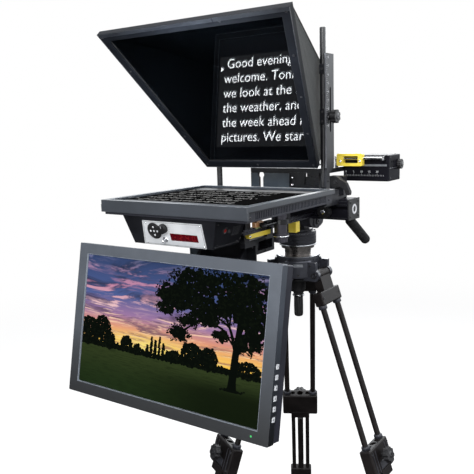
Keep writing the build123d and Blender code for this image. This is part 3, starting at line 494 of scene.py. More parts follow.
class Solids:
    """Gathers closed solids into one mesh. Points are vectors, sizes are millimetres."""

    def __init__(self):
        self.verts, self.faces, self.smooth, self.indices = [], [], [], []

    def add(self, verts, faces, smooth=False, index=0):
        base = len(self.verts)
        self.verts += [Vector(v) for v in verts]
        self.faces += [tuple(i + base for i in face) for face in faces]
        self.smooth += [smooth] * len(faces)
        self.indices += [index] * len(faces)

    def lathe(self, centre, axis, profile, seg=24, smooth=True):
        """profile: (radius, height along the axis) from the first cap to the last."""
        side, other, axis = basis(axis)
        verts, faces, rings = [], [], []
        for radius, height in profile:
            middle = Vector(centre) + axis * (height * MM)
            if radius == 0:
                rings.append([len(verts)])
                verts.append(middle)
                continue
            rings.append(range(len(verts), len(verts) + seg))
            for i in range(seg):
                angle = 2 * pi * i / seg
                reach = turned_radius(radius, angle) * MM
                verts.append(middle + side * (reach * cos(angle)) + other * (reach * sin(angle)))
        for low, high in zip(rings[:-1], rings[1:]):
            if len(low) == 1 and len(high) == 1:
                continue
            if len(low) == 1:
                faces += [(low[0], high[(i + 1) % seg], high[i]) for i in range(seg)]
            elif len(high) == 1:
                faces += [(low[i], low[(i + 1) % seg], high[0]) for i in range(seg)]
            else:
                faces += bridge(low, high)
        self.add(verts, faces, smooth)

    def box(self, centre, size, bevel=0.0, axes=(X, Y, Z), index=0):
        """Box with chamfered edges, its size given along the three unit axes."""
        half = [length * MM / 2 for length in size]
        cut = min(bevel * MM, *(h * 0.98 for h in half))
        octants = list(product(SIDES, repeat=3))

        def corner(signs, reach):
            point = Vector(centre)
            for axis, sign, length in zip(axes, signs, reach):
                point = point + axis * sign * length
            return point

        if cut <= 0:
            self.add([corner(signs, half) for signs in octants],
                     [(0, 1, 3, 2), (4, 6, 7, 5), (0, 4, 5, 1), (2, 3, 7, 6), (0, 2, 6, 4),
                      (1, 5, 7, 3)], False, index)
            return
        verts, faces, number = [], [], {}
        for signs in octants:
            for k in range(3):
                reach = [h - cut for h in half]
                reach[k] += cut
                number[(*signs, k)] = len(verts)
                verts.append(corner(signs, reach))

        def face(loop, outward):
            normal = (verts[loop[1]] - verts[loop[0]]).cross(verts[loop[2]] - verts[loop[0]])
            faces.append(tuple(loop if normal.dot(outward) > 0 else reversed(loop)))

        for k in range(3):
            a, b = [i for i in range(3) if i != k]

            def vertex(sign_k, sign_a, sign_b, full):
                key = [0, 0, 0]
                key[k], key[a], key[b] = sign_k, sign_a, sign_b
                return number[(*key, full)]

            for sign in SIDES:
                face([vertex(sign, i, j, k) for i, j in ((-1, -1), (1, -1), (1, 1), (-1, 1))],
                     axes[k] * sign)
            for i, j in product(SIDES, SIDES):
                face([vertex(sign, i, j, full)
                      for sign, full in ((-1, a), (1, a), (1, b), (-1, b))],
                     axes[a] * i + axes[b] * j)
        for signs in octants:
            face([number[(*signs, k)] for k in range(3)], corner(signs, (1, 1, 1)) - centre)
        self.add(verts, faces, False, index)

    def prism(self, points, depth, index=0):
        """Closed prism: a planar loop carried along depth, a vector in millimetres."""
        count = len(points)
        depth = depth * MM
        normal = Vector((0, 0, 0))
        for i in range(count):
            normal += points[i].cross(points[(i + 1) % count])
        if normal.dot(depth) > 0:
            points = list(reversed(points))
        verts = points + [p + depth for p in points]
        faces = [tuple(range(count)), tuple(reversed(range(count, 2 * count)))]
        faces += [(i, i + count, (i + 1) % count + count, (i + 1) % count)
                  for i in range(count)]
        self.add(verts, faces, False, index)

    def tube(self, path, radius, seg=8):
        """Capped tube along a polyline."""
        verts, faces = [], []
        side = basis(path[1] - path[0])[0]
        last = len(path) - 1
        for i, point in enumerate(path):
            along = (path[min(i + 1, last)] - path[max(i - 1, 0)]).normalized()
            side = (side - along * side.dot(along)).normalized()
            other = along.cross(side)
            for k in range(seg):
                angle = 2 * pi * k / seg
                verts.append(point + side * (radius * MM) * cos(angle)
                             + other * (radius * MM) * sin(angle))
        rings = [range(i * seg, (i + 1) * seg) for i in range(len(path))]
        for low, high in zip(rings[:-1], rings[1:]):
            faces += bridge(low, high)
        faces += [tuple(reversed(rings[0])), tuple(rings[-1])]
        self.add(verts, faces, True)

    def screw(self, centre, axis, r, h):
        """Cap screw head with a hexagon recess, radius r and height h."""
        self.lathe(centre, axis, [
            (0, -0.3), (r, -0.3), (r, h - 0.35), (r - 0.35, h), (("hex", 0.55 * r * 1.12), h),
            (("hex", 0.55 * r), h - 0.2), (("hex", 0.55 * r), h * 0.4), (0, h * 0.4 - 0.15)],
            24, False)

    def pan_screw(self, centre, axis, r, h):
        """Low domed screw with a hexagon recess."""
        self.lathe(centre, axis, [
            (0, -0.3), (r, -0.3), (r, h * 0.35), (r * 0.86, h * 0.75), (r * 0.6, h),
            (("hex", r * 0.38), h * 0.98), (("hex", r * 0.3), h * 0.4), (0, h * 0.35)], 18, False)

    def text(self, string, size, origin, right, up, out, align="LEFT", thin=0.0, lift=0.08):
        """Raised lettering; a left-handed set of directions mirrors it."""
        curve = bpy.data.curves.new("glyphs", "FONT")
        curve.body, curve.size, curve.align_x = string, size * MM, align
        curve.extrude, curve.resolution_u, curve.offset = 0.00005, 3, -thin * MM
        holder = bpy.data.objects.new("glyphs", curve)
        bpy.context.scene.collection.objects.link(holder)
        bpy.context.view_layer.update()
        graph = bpy.context.evaluated_depsgraph_get()
        mesh = bpy.data.meshes.new_from_object(holder.evaluated_get(graph))
        verts = [origin + right * v.co.x + up * v.co.y + out * (lift * MM + v.co.z)
                 for v in mesh.vertices]
        faces = [tuple(face.vertices) for face in mesh.polygons]
        bpy.data.objects.remove(holder)
        bpy.data.curves.remove(curve)
        bpy.data.meshes.remove(mesh)
        if right.cross(up).dot(out) < 0:
            faces = [tuple(reversed(face)) for face in faces]
        self.add(verts, faces)

    def make(self, name, mats, body, slot, matrix=None):
        return new_obj(name, self.verts, self.faces, mats, body, self.smooth,
                       self.indices, matrix)


def turned(name, mats, body, slot, centre, axis, profile, seg, smooth=True, matrix=None):
    """An object that is a single lathe."""
    part = Solids()
    part.lathe(centre, axis, profile, seg, smooth)
    return part.make(name, mats, body, slot, matrix)


# ------------------------------------------------------------------ local frames
MONITOR = Matrix.Translation(at(-2, -547, 1250)) @ Matrix.Rotation(radians(-11.3), 4, "X")

# Glass frame: leans forward as it rises and widens towards the top.
LEAN = radians(48.8)
FRAME_UP = Vector((0, -cos(LEAN), sin(LEAN)))
FRAME_IN = Vector((0, sin(LEAN), cos(LEAN)))     # away from the frame's front face
FRAME_AXES = (X, FRAME_UP, FRAME_IN)
FRAME_BOTTOM, FRAME_TOP, FRAME_LENGTH = 332, 516, 429
FLARE = (FRAME_TOP - FRAME_BOTTOM) / 2 / FRAME_LENGTH


def frame_at(x, up, depth=0.0):
    return at(0, -192, 1406) + X * (x * MM) + FRAME_UP * (up * MM) + FRAME_IN * (depth * MM)


def frame_half(up):
    return FRAME_BOTTOM / 2 + FLARE * up


# Control box: its front slopes 21 in 65, its +X side 25 in 65.
BOX_RISE, FRONT_RUN, SIDE_RUN = 65, 21, 25
BOX_TILT = atan2(FRONT_RUN, BOX_RISE)
PANEL_OUT = Vector((0, -cos(BOX_TILT), -sin(BOX_TILT)))
PANEL_UP = Vector((0, -sin(BOX_TILT), cos(BOX_TILT)))
PANEL_AXES = (X, PANEL_UP, PANEL_OUT)
SIDE_OUT = Vector((BOX_RISE, 0, -SIDE_RUN)).normalized()
SIDE_AXES = (Y, Vector((SIDE_RUN, 0, BOX_RISE)).normalized(), SIDE_OUT)


def panel_at(x, z, off=0.0):
    return at(x, -541 + (1322 - z) * (FRONT_RUN / BOX_RISE), z) + PANEL_OUT * (off * MM)


def side_at(y, z, off=0.0):
    return at(91 + (z - 1257) / BOX_RISE * SIDE_RUN, y, z) + SIDE_OUT * (off * MM)


# ------------------------------------------------------------------ prompter screen
LIT_X0, LIT_X1, LIT_Y0, LIT_Y1 = -184.0, 172.0, -487.0, -243.0
SCREEN_Z = 1349.95
LINES = ("Good evening and", "welcome. Tonight", "we look at the sky,", "the weather, and",
         "the week ahead in", "pictures. We start")
LINE_STARTS = (-160.0, -168.0, -168.0, -168.0, -168.0, -170.0)

part = Solids()
part.prism([at(x, y, SCREEN_Z + 0.05) for x, y in (
    (LIT_X0, LIT_Y0), (LIT_X1, LIT_Y0), (LIT_X1, LIT_Y1), (LIT_X0, LIT_Y1))], Z * 0.1)
part.make("prompter_lit_area", "lcd_glow", "prompter", "screen_black")

# words, mirrored so that they read right in the glass
part = Solids()
for i, (line, start) in enumerate(zip(LINES, LINE_STARTS)):
    part.text(line, 36.5, at(start, LIT_Y0 + 31.5 + 39.6 * i, SCREEN_Z + 0.3), X, -Y, Z,
              thin=0.4, lift=0.0)
# cue arrow at the reading line
part.prism([at(LIT_X0 + dx, LIT_Y0 + dy, SCREEN_Z + 0.25)
            for dx, dy in ((5, 27), (14, 33), (5, 39))], Z * 0.1)
part.make("prompter_words", "lcd_glyph", "prompter", "screen_black")

# ------------------------------------------------------------------ talent monitor picture
PIC_W, PIC_H = 503.0, 300.0
PIC_X, PIC_Z = -PIC_W / 2, -324.0        # lower left corner in the monitor's frame
PIC_MID = PIC_Z + PIC_H / 2
ASPECT = PIC_H / PIC_W


def picture_material():
    """Evening sky over a meadow."""
    mat = new_material("evening_landscape")
    place = mat.xyz()
    across = mat.math("DIVIDE", mat.sub(place["X"], PIC_X * MM), PIC_W * MM)
    up = mat.math("DIVIDE", mat.sub(place["Z"], PIC_Z * MM), PIC_H * MM)
    horizon = 0.315
    rise = mat.math("DIVIDE", mat.sub(up, horizon), 1 - horizon)
    rise = mat.math("MAXIMUM", rise, 0.0)
    sky = mat.ramp(rise, [
        (0.0, (1.0, 0.62, 0.06)), (0.12, (1.0, 0.56, 0.11)), (0.24, (0.80, 0.33, 0.20)),
        (0.38, (0.36, 0.20, 0.38)), (0.58, (0.080, 0.12, 0.31)), (1.0, (0.036, 0.060, 0.15))])
    # low sun behind the far trees
    du = mat.sub(across, 0.40)
    dv = mat.sub(up, horizon + 0.045)
    spread = mat.add(mat.mul(mat.mul(du, du), 1.0), mat.mul(mat.mul(dv, dv), 5.5))
    sun = mat.math("POWER", 2.718, mat.mul(spread, -24.0))
    sky = mat.mix(mat.mul(sun, 0.95), sky, (1.0, 0.83, 0.22))
    # clouds flatten towards the horizon
    nearness = mat.add(rise, 0.20)
    cloud_x = mat.math("DIVIDE", mat.sub(across, 0.35), nearness)
    cloud_y = mat.mul(mat.math("DIVIDE", 1.0, nearness), 1.9)
    plane = mat.node("CombineXYZ", {0: cloud_x, 1: cloud_y}).outputs[0]
    cloud = mat.noise(1.9, 9.0, 0.64, plane, 0.7)
    shifted = mat.noise(1.9, 9.0, 0.64, mat.mapping(loc=(0.04, 0.10, 0.0), vec=plane), 0.7)
    body = mat.ramp(rise, [
        (0.0, (0.52, 0.20, 0.07)), (0.25, (0.16, 0.085, 0.14)), (0.6, (0.040, 0.042, 0.085)),
        (1.0, (0.018, 0.024, 0.05))])
    sky = mat.mix(mat.mul(mat.ease(cloud, 0.47, 0.60), 0.86), sky, body)
    lit = mat.mul(mat.ease(mat.sub(cloud, shifted), 0.015, 0.11), mat.ease(cloud, 0.44, 0.52))
    lit_col = mat.ramp(rise, [
        (0.0, (1.0, 0.86, 0.30)), (0.25, (1.0, 0.62, 0.36)), (0.45, (0.95, 0.62, 0.62)),
        (0.68, (0.66, 0.28, 0.42)), (1.0, (0.16, 0.20, 0.36))])
    sky = mat.mix(mat.mul(lit, 0.90), sky, lit_col)
    wisp = mat.noise(3.4, 6.0, 0.62, plane, 0.9)
    sky = mat.mix(mat.mul(mat.ease(wisp, 0.50, 0.70), 0.50), sky, lit_col)
    # meadow
    below = mat.sub(horizon, up)
    depth = mat.math("DIVIDE", 0.05, mat.add(mat.math("MAXIMUM", below, 0.0), 0.015))
    ground = mat.node("CombineXYZ", {
        0: mat.mul(mat.sub(across, 0.5), mat.add(depth, 0.6)),
        1: mat.mul(depth, 3.0)}).outputs[0]
    tufts = mat.noise(5.0, 7.0, 0.65, ground)
    fine = mat.noise(420.0, 3.0, 0.7)
    grass = mat.mix(tufts, (0.011, 0.022, 0.008), (0.034, 0.056, 0.018))
    near = mat.ease(below, 0.0, 0.30)
    grass = mat.mix(near, mat.mix(0.5, grass, (0.050, 0.066, 0.022)), grass)
    grass = mat.mix(mat.mul(near, 0.55), grass, (0.010, 0.024, 0.008))
    shade = mat.mul(mat.ease(across, 0.25, 0.80), mat.ease(below, 0.02, 0.16))
    grass = mat.mix(mat.mul(shade, 0.88), grass, (0.0045, 0.0065, 0.0035))
    rows = mat.noise(1.0, 4.0, 0.6, mat.mapping((30, 1, 420), (0, 0.04, 0)))
    grass = mat.mix(mat.mul(mat.ease(rows, 0.45, 0.7), 0.5), grass, (0.006, 0.010, 0.005))
    grass = mat.mix(mat.mul(fine, 0.35), grass, (0.012, 0.022, 0.006))
    col = mat.mix(mat.math("LESS_THAN", up, horizon), sky, grass)
    mat.done(mat.node("Emission", {"Color": col, "Strength": 0.95}).outputs[0])


picture_material()
part = Solids()
part.box(local(0, 3.45, PIC_MID), (PIC_W, 0.14, PIC_H))
part.make("monitor_picture", "evening_landscape", "talent_monitor", "screen_black", MONITOR)


# Trees are thin prisms in front of the picture. Places are fractions of the picture's width
# and height; depth is how far forward of the picture's base plane they stand.
def picture_at(u, v, depth):
    return local(PIC_X + u * PIC_W, 3.3 - depth, PIC_Z + v * PIC_H)


def inside_at(u, v, depth):
    return picture_at(min(max(u, 0.001), 0.999), min(max(v, 0.002), 0.998), depth)


LEAF_DEPTH = -Y * 0.03
MOSTLY_DARK, OFTEN_DARK = (0, 0, 0, 1), (0, 0, 1)    # material indices to draw from
rng = random.Random(19)
trees = Solids()
tips = []


def blob(u, v, radius, depth, index):
    """A small ragged leaf mass; its radius is in picture heights."""
    count = rng.choice((5, 6, 7))
    phase = rng.uniform(0, 6.28)
    points = []
    for k in range(count):
        angle = phase + 2 * pi * k / count
        reach = radius * rng.uniform(0.55, 1.2)
        points.append(inside_at(u + reach * cos(angle) * ASPECT, v + reach * sin(angle) * 0.85,
                                depth))
    trees.prism(points, LEAF_DEPTH, index)


def scatter():
    """A direction and an even share of a disc's radius."""
    return rng.uniform(0, 6.28), sqrt(rng.random())


def far_line():
    """Far tree line with gaps where the light comes through."""
    u = -0.01
    while u < 1.0:
        height = 0.026 + 0.022 * mnoise.noise(Vector((u * 9.0, 0.3, 0))) + 0.014 * rng.random()
        for k in range(6):
            blob(u + rng.uniform(-0.005, 0.005), 0.310 + height * rng.uniform(0.0, 1.0), 0.012,
                 0.01 + 0.002 * k, rng.choice(MOSTLY_DARK))
        u += 0.0055


# rounded masses on the tree line: centre, half width, height, leaf count
MASSES = (
    (0.040, 0.060, 0.215, 620), (0.125, 0.060, 0.235, 700), (0.180, 0.032, 0.130, 220),
    (0.285, 0.034, 0.115, 220), (0.350, 0.022, 0.080, 120), (0.560, 0.034, 0.090, 200),
    (0.650, 0.055, 0.165, 560), (0.740, 0.044, 0.150, 420), (0.93, 0.060, 0.110, 300))
# a row of narrow trees: half width, height
NARROW = ((0.0105, 0.085), (0.0085, 0.150), (0.0115, 0.128), (0.0080, 0.160),
          (0.0120, 0.118), (0.0125, 0.075))
# crown layers of the broad tree: centre, half sizes, leaf count
LAYERS = (
    (0.535, 0.800, 0.110, 0.085, 620), (0.500, 0.690, 0.066, 0.060, 330),
    (0.575, 0.520, 0.062, 0.066, 340), (0.640, 0.905, 0.150, 0.105, 800),
    (0.850, 0.880, 0.200, 0.150, 1300), (0.700, 0.720, 0.125, 0.095, 640),
    (0.950, 0.660, 0.085, 0.130, 560), (0.790, 0.560, 0.042, 0.055, 240),
    (0.620, 0.620, 0.060, 0.050, 240), (0.800, 0.740, 0.110, 0.100, 420),
    (0.930, 0.540, 0.075, 0.085, 380), (0.900, 0.740, 0.120, 0.120, 620),
    (0.620, 0.780, 0.100, 0.100, 560), (0.560, 0.740, 0.080, 0.080, 360),
    (0.730, 0.640, 0.070, 0.050, 260), (0.480, 0.770, 0.050, 0.050, 200))
# stem of the broad tree: place, half width
STEM = ((0.862, 0.20, 0.040), (0.862, 0.27, 0.031), (0.868, 0.44, 0.028),
        (0.878, 0.62, 0.024), (0.880, 0.80, 0.014))
# limbs that carry the low layers
LOW_LIMBS = (
    ((0.875, 0.47), (0.80, 0.60), (0.70, 0.66), (0.60, 0.66)),
    ((0.870, 0.52), (0.88, 0.66), (0.86, 0.80), (0.84, 0.95)),
    ((0.70, 0.66), (0.62, 0.57), (0.57, 0.52)),
    ((0.878, 0.50), (0.93, 0.60), (0.97, 0.68)))


def tree_masses():
    for centre, half_width, height, count in MASSES:
        for k in range(count):
            angle, share = scatter()
            u = centre + half_width * share * cos(angle)
            v = (0.305 + height * (0.5 + 0.5 * share * sin(angle))
                 + 0.012 * mnoise.noise(Vector((u * 60, 1.7, 0))))
            if 0 < u < 1:
                blob(u, v, 0.0115, 0.03 + 0.0001 * k, rng.choice(MOSTLY_DARK))


def narrow_trees():
    for k, (half_width, height) in enumerate(NARROW):
        for i in range(80):
            t = i / 79
            width = half_width * (0.35 + 0.75 * sin(pi * min(1.0, 0.18 + 0.80 * t)))
            blob(0.408 + 0.0225 * k + rng.uniform(-1, 1) * width * 0.6, 0.305 + height * t,
                 0.0095, 0.03 + 0.0001 * i, 0)


def limb(u, v, angle, length, width, depth):
    """A wandering tapered limb and the three that grow from its end."""
    steps = 5
    left, right = [], []
    for k in range(steps + 1):
        w = width * (1 - 0.45 * (k / steps))
        left.append((u - w * sin(angle) * ASPECT, v + w * cos(angle)))
        right.append((u + w * sin(angle) * ASPECT, v - w * cos(angle)))
        if k < steps:
            angle += rng.uniform(-0.13, 0.13)
            u += cos(angle) * length / steps * ASPECT
            v += sin(angle) * length / steps
    trees.prism([inside_at(*point, 0.12) for point in left + right[::-1]], LEAF_DEPTH)
    if depth == 0:
        tips.append((u, v))
        return
    for k in range(3):
        limb(u, v, angle + (k - 1) * 0.52 + rng.uniform(-0.16, 0.16),
             length * rng.uniform(0.66, 0.84), width * 0.52, depth - 1)
    if depth < 4:
        tips.append((u, v))


def crown():
    """Overlapping foliage with lace-like edges and holes, cut by the picture's edges."""
    count = 0
    for centre_u, centre_v, half_u, half_v, leaves in LAYERS:
        for _ in range(leaves):
            angle, share = scatter()
            c, s = cos(angle), sin(angle)
            edge = (1.0 + 0.30 * mnoise.noise(Vector((c * 2.3 + centre_u * 31,
                                                      s * 2.3 + centre_v * 17, 3.0)))
                    + 0.16 * mnoise.noise(Vector((c * 8 + centre_u * 9, s * 8, 6.0))))
            u, v = centre_u + half_u * edge * share * c, centre_v + half_v * edge * share * s
            if not (0.001 < u < 0.999 and 0.30 < v < 0.998):
                continue
            hole = mnoise.noise(Vector((u * 34.0, v * 21.0, 9.0)))
            if hole > (0.50 if share < 0.60 else 0.20):
                continue
            size = rng.uniform(0.011, 0.019) if share < 0.72 else rng.uniform(0.0040, 0.0085)
            blob(u, v, size, 0.14 + 0.00002 * count, rng.choice(MOSTLY_DARK))
            count += 1


def stem_and_low_limbs():
    for (u0, v0, w0), (u1, v1, w1) in zip(STEM, STEM[1:]):
        trees.prism([picture_at(u, v, 0.135) for u, v in (
            (u0 - w0 * ASPECT, v0), (u1 - w1 * ASPECT, v1),
            (u1 + w1 * ASPECT, v1), (u0 + w0 * ASPECT, v0))], LEAF_DEPTH)
    for points in LOW_LIMBS:
        for (u0, v0), (u1, v1) in zip(points, points[1:]):
            dx, dz = (u1 - u0) / ASPECT, v1 - v0
            length = sqrt(dx * dx + dz * dz)
            wu, wv = -dz / length * 0.0085 * ASPECT, dx / length * 0.0085
            trees.prism([picture_at(u, v, 0.13) for u, v in (
                (u0 - wu, v0 - wv), (u1 - wu * 0.7, v1 - wv * 0.7),
                (u1 + wu * 0.7, v1 + wv * 0.7), (u0 + wu, v0 + wv))], LEAF_DEPTH)


def tip_leaves():
    for tip_u, tip_v in tips:
        for k in range(3):
            angle, share = scatter()
            u, v = tip_u + 0.02 * share * cos(angle), tip_v + 0.03 * share * sin(angle)
            if 0.0 < u < 1.0 and 0.50 < v < 1.0:
                blob(u, v, rng.uniform(0.007, 0.012), 0.22 + 0.0002 * k, rng.choice(OFTEN_DARK))


far_line()
tree_masses()
narrow_trees()
limb(0.862, 0.205, angle=1.58, length=0.235, width=0.033, depth=4)
crown()
stem_and_low_limbs()
tip_leaves()
# spreading root of the broad tree
for _ in range(60):
    u = 0.862 + rng.gauss(0, 0.028)
    blob(u, 0.205 + abs(rng.gauss(0, 0.007)), 0.009, 0.10, rng.choice(OFTEN_DARK))
trees.make("monitor_picture_trees", ["leaf_dark", "leaf_mid", "leaf_warm"], "talent_monitor",
           "screen_black", MONITOR)

# inner lip of the bezel: mitred strips round the picture, drawn pale as a painted highlight where
# the chamfer catches the light
verts, faces = [], []
for sx, sz in ((-1, -1), (1, -1), (1, 1), (-1, 1)):
    outer_x, outer_z = sx * (PIC_W / 2 + 0.3), PIC_MID + sz * (PIC_H / 2 + 0.3)
    inner_x, inner_z = sx * (PIC_W / 2 - 2.0), PIC_MID + sz * (PIC_H / 2 - 2.0)
    verts += [local(outer_x, -0.25, outer_z),
              local(outer_x + (inner_x - outer_x) * 0.4, -0.25,
                    outer_z + (inner_z - outer_z) * 0.4),
              local(inner_x, 3.0, inner_z), local(outer_x, 3.0, outer_z)]
for i in range(4):
    j = (i + 1) % 4
    for k in range(4):
        n = (k + 1) % 4
        faces.append((i * 4 + k, j * 4 + k, j * 4 + n, i * 4 + n))
new_obj("monitor_lip_painted_highlight", verts, faces, "bezel_lip", "talent_monitor",
        matrix=MONITOR)

# ------------------------------------------------------------------ small parts on the monitor
SOCKET_Z = -302
part = Solids()
for x, z in ((-262, -60), (-262, -290), (262, -60), (262, -290),
             (-120, -8), (120, -8), (-120, -341), (120, -341)):
    part.pan_screw(local(x, 44.0, z), Y, 3.0, 1.6)
# round sockets in a row under the rear bulge, each with two side lugs
for k in range(4):
    x = -60 + 26 * k
    part.lathe(local(x, 44.0, SOCKET_Z), Y, [
        (0, -1), (("hex", 8.2), -1), (("hex", 8.2), 2.2), (5.6, 2.2), (5.6, 10), (4.2, 10),
        (4.2, 4), (1.0, 4), (1.0, 9), (0, 9)], 24, False)
    for side in SIDES:
        part.lathe(local(x + side * 5.5, 50.5, SOCKET_Z), X * side,
                   [(0, -0.5), (1.1, -0.5), (1.1, 1.3), (0, 1.4)], 10, False)
part.make("monitor_rear_fittings", "zinc", "talent_monitor", "steel", MONITOR)
# power inlet with three pins, blank rating plate and grip ribs
part = Solids()
part.box(local(64, 46.0, SOCKET_Z), (34, 6, 24), 1.2)
part.box(local(64, 49.4, SOCKET_Z), (27, 1.2, 18), 0.5)
for dx, dz in ((-6, -2), (0, 2), (6, -2)):
    part.box(local(64 + dx, 50.6, SOCKET_Z + dz), (1.8, 2.4, 6), 0.3)
part.box(local(-95, 58.4, -110), (70, 1.2, 40), 0.4)
for k in range(7):
    part.box(local(0, 58.5, -250 - 3.2 * k), (200, 1.4, 1.4), 0.4)
part.make("monitor_rear_mouldings", "black_plastic", "talent_monitor", "black_plastic", MONITOR)
turned("monitor_power_light", "led_green", "talent_monitor", "key_white",
       local(238, 0.0, -336.5), -Y,
       [(0, -0.2), (2.1, -0.2), (2.1, 0.25), (1.5, 0.7), (0, 0.85)], 16, matrix=MONITOR)
# raised key marks: bars, crosses and discs
KEY_X, KEY_Y = 277.5, 11.8
part = Solids()
for k in range(6):
    z = -196.0 - 20.4 * k
    if k % 2 == 0:
        part.box(local(KEY_X + 1.3, KEY_Y, z), (0.3, 3.6, 0.9), 0.08)
    if k in (1, 2, 4):
        part.box(local(KEY_X + 1.3, KEY_Y, z), (0.3, 0.9, 3.6), 0.08)
    if k in (3, 5):
        part.lathe(local(KEY_X + 1.1, KEY_Y, z), X, [(0, 0), (1.6, 0), (1.6, 0.3), (0, 0.3)],
                   12, False)
part.make("monitor_key_marks", "black_plastic", "tm_keys", "black_plastic", MONITOR)

# ------------------------------------------------------------------ control box
PAD, KNOB, TOGGLE = (-57, 1291), (-27, 1299.5), (-31, 1273)     # x, z on the front panel
part = Solids()
for dz, dx in ((0, 0), (9.5, 0), (-9.5, 0), (0, 9.5), (0, -9.5)):
    part.lathe(panel_at(PAD[0] + dx, PAD[1] + dz * cos(BOX_TILT), 3.55), PANEL_OUT,
               [(0, -0.3), (2.3, -0.3), (2.3, 0.4), (1.6, 0.95), (0, 1.15)], 16)
part.make("nav_pad_dots", "key_white", "nav_pad", "key_white")
turned("nav_pad_ridge", "black_plastic", "nav_pad", "black_plastic",
       panel_at(*PAD, 3.5), PANEL_OUT,
       [(14.6, -0.2), (14.6, 0.35), (15.2, 0.55), (15.8, 0.35), (15.8, -0.2), (14.6, -0.2)], 48)
part = Solids()
part.box(panel_at(KNOB[0], KNOB[1] + 5.6, 11.7), (1.3, 7.0, 1.2), 0.2, PANEL_AXES)
part.make("speed_knob_pointer", "key_white", "speed_knob", "key_white")
turned("speed_knob_grip", "black_plastic", "speed_knob", "black_plastic",
       panel_at(*KNOB, 3.2), PANEL_OUT,
       [(9.6, 0), (("flute", 10.9, 24, 0.55), 0.2), (("flute", 10.7, 24, 0.55), 5.4),
        (9.6, 6.2), (9.6, 0)], 96, False)
# ticks round the knob, where the pad, the toggle and the panel's top leave room
INK_LIFT, TICK_RING = 1.62, 14.0
part = Solids()
for k in range(11):
    angle = radians(-50 + 23 * k) + pi / 2 - 0.9
    tick = (panel_at(KNOB[0] + TICK_RING * sin(angle), KNOB[1], INK_LIFT)
            + PANEL_UP * (TICK_RING * cos(angle) * MM))
    if ((tick - panel_at(*PAD, INK_LIFT)).length < 21.5 * MM
            or (tick - panel_at(*TOGGLE, INK_LIFT)).length < 8 * MM
            or tick.z > at(0, 0, 1311.5).z):
        continue
    along = (tick - panel_at(*KNOB, INK_LIFT)).normalized()
    part.box(tick, (2.4, 0.5, 0.16), 0.05, (along, PANEL_OUT.cross(along), PANEL_OUT))
# keyline round the panel
corners = [panel_at(x, z, INK_LIFT)
           for x, z in ((-83.2, 1311), (75.5, 1311), (73.7, 1260.6), (-93.6, 1260.6))]
for start, end in zip(corners, corners[1:] + corners[:1]):
    along = (end - start).normalized()
    part.box((start + end) / 2, ((end - start).length / MM, 0.55, 0.14), 0.04,
             (along, PANEL_OUT.cross(along), PANEL_OUT))
part.make("panel_keylines", "black_plastic", "prompter", "black_plastic")
part = Solids()
part.lathe(panel_at(*TOGGLE, 1.4), PANEL_OUT, [
    (4.7, 0), (("hex", 7.0), 0), (("hex", 7.0), 1.6), (5.8, 2.1), (4.7, 2.1), (4.7, 0)],
    36, False)
for x, z in ((-85.5, 1262.8), (71, 1262.8), (-79, 1308.2), (72.5, 1308.2)):
    part.pan_screw(panel_at(x, z, 1.6), PANEL_OUT, 1.7, 0.9)
part.make("panel_collar_and_screws", "chrome", "prompter", "chrome")

# seven-segment digits behind the window: x, height, size along and across
WIDE, TALL = (5.2, 1.1, 0.08), (1.1, 4.4, 0.08)
SEGMENTS = {"a": (0, 5.4, WIDE), "b": (3.2, 2.7, TALL), "c": (3.2, -2.7, TALL),
            "d": (0, -5.4, WIDE), "e": (-3.2, -2.7, TALL), "f": (-3.2, 2.7, TALL),
            "g": (0, 0, WIDE)}
LIT_SEGMENTS = {"2": "abged", "4": "fgbc", "0": "abcdef", "-": "g"}
part = Solids()
for k, digit in enumerate("-240"):
    for segment, (x, height, size) in SEGMENTS.items():
        part.box(panel_at(-3 + 17 * k + x, 1279.5, 1.43) + PANEL_UP * (height * MM), size, 0.02,
                 PANEL_AXES, index=0 if segment in LIT_SEGMENTS[digit] else 1)
part.make("display_digits", ["digit_red", "digit_dim"], "prompter", "red_window")

# sloped +X side: lamp bezel and screws, lamp, ledge along the bottom, ribbed plate
LAMP = (-495, 1295)
part = Solids()
part.lathe(side_at(*LAMP), SIDE_OUT, [
    (4.0, -0.4), (8.2, -0.4), (8.2, 0.8), (7.2, 1.5), (5.6, 1.5), (5.0, 0.5), (4.0, 0.4),
    (4.0, -0.4)], 32)
for y, z in ((-527, 1312), (-436, 1312), (-436, 1264), (-508, 1264)):
    part.pan_screw(side_at(y, z), SIDE_OUT, 2.2, 1.1)
part.make("control_side_fittings", "black_screw", "prompter", "black_anodised")
turned("control_side_lamp", "led_red", "prompter", "red_window", side_at(*LAMP, 0.1), SIDE_OUT,
       [(0, -0.3), (4.0, -0.3), (3.8, 0.8), (2.4, 2.0), (0, 2.4)], 24)
part = Solids()
part.box(side_at(-472, 1260.2, 0.7), (90, 4.2, 1.6), 0.5, SIDE_AXES)
part.box(side_at(-453, 1290, 0.5), (34, 22, 1.2), 0.4, SIDE_AXES)
for k in range(6):
    part.box(side_at(-453, 1282 + 3.2 * k, 1.3), (28, 1.1, 0.9), 0.3, SIDE_AXES)
part.make("control_side_ledge", "black_anodised", "prompter", "black_anodised")

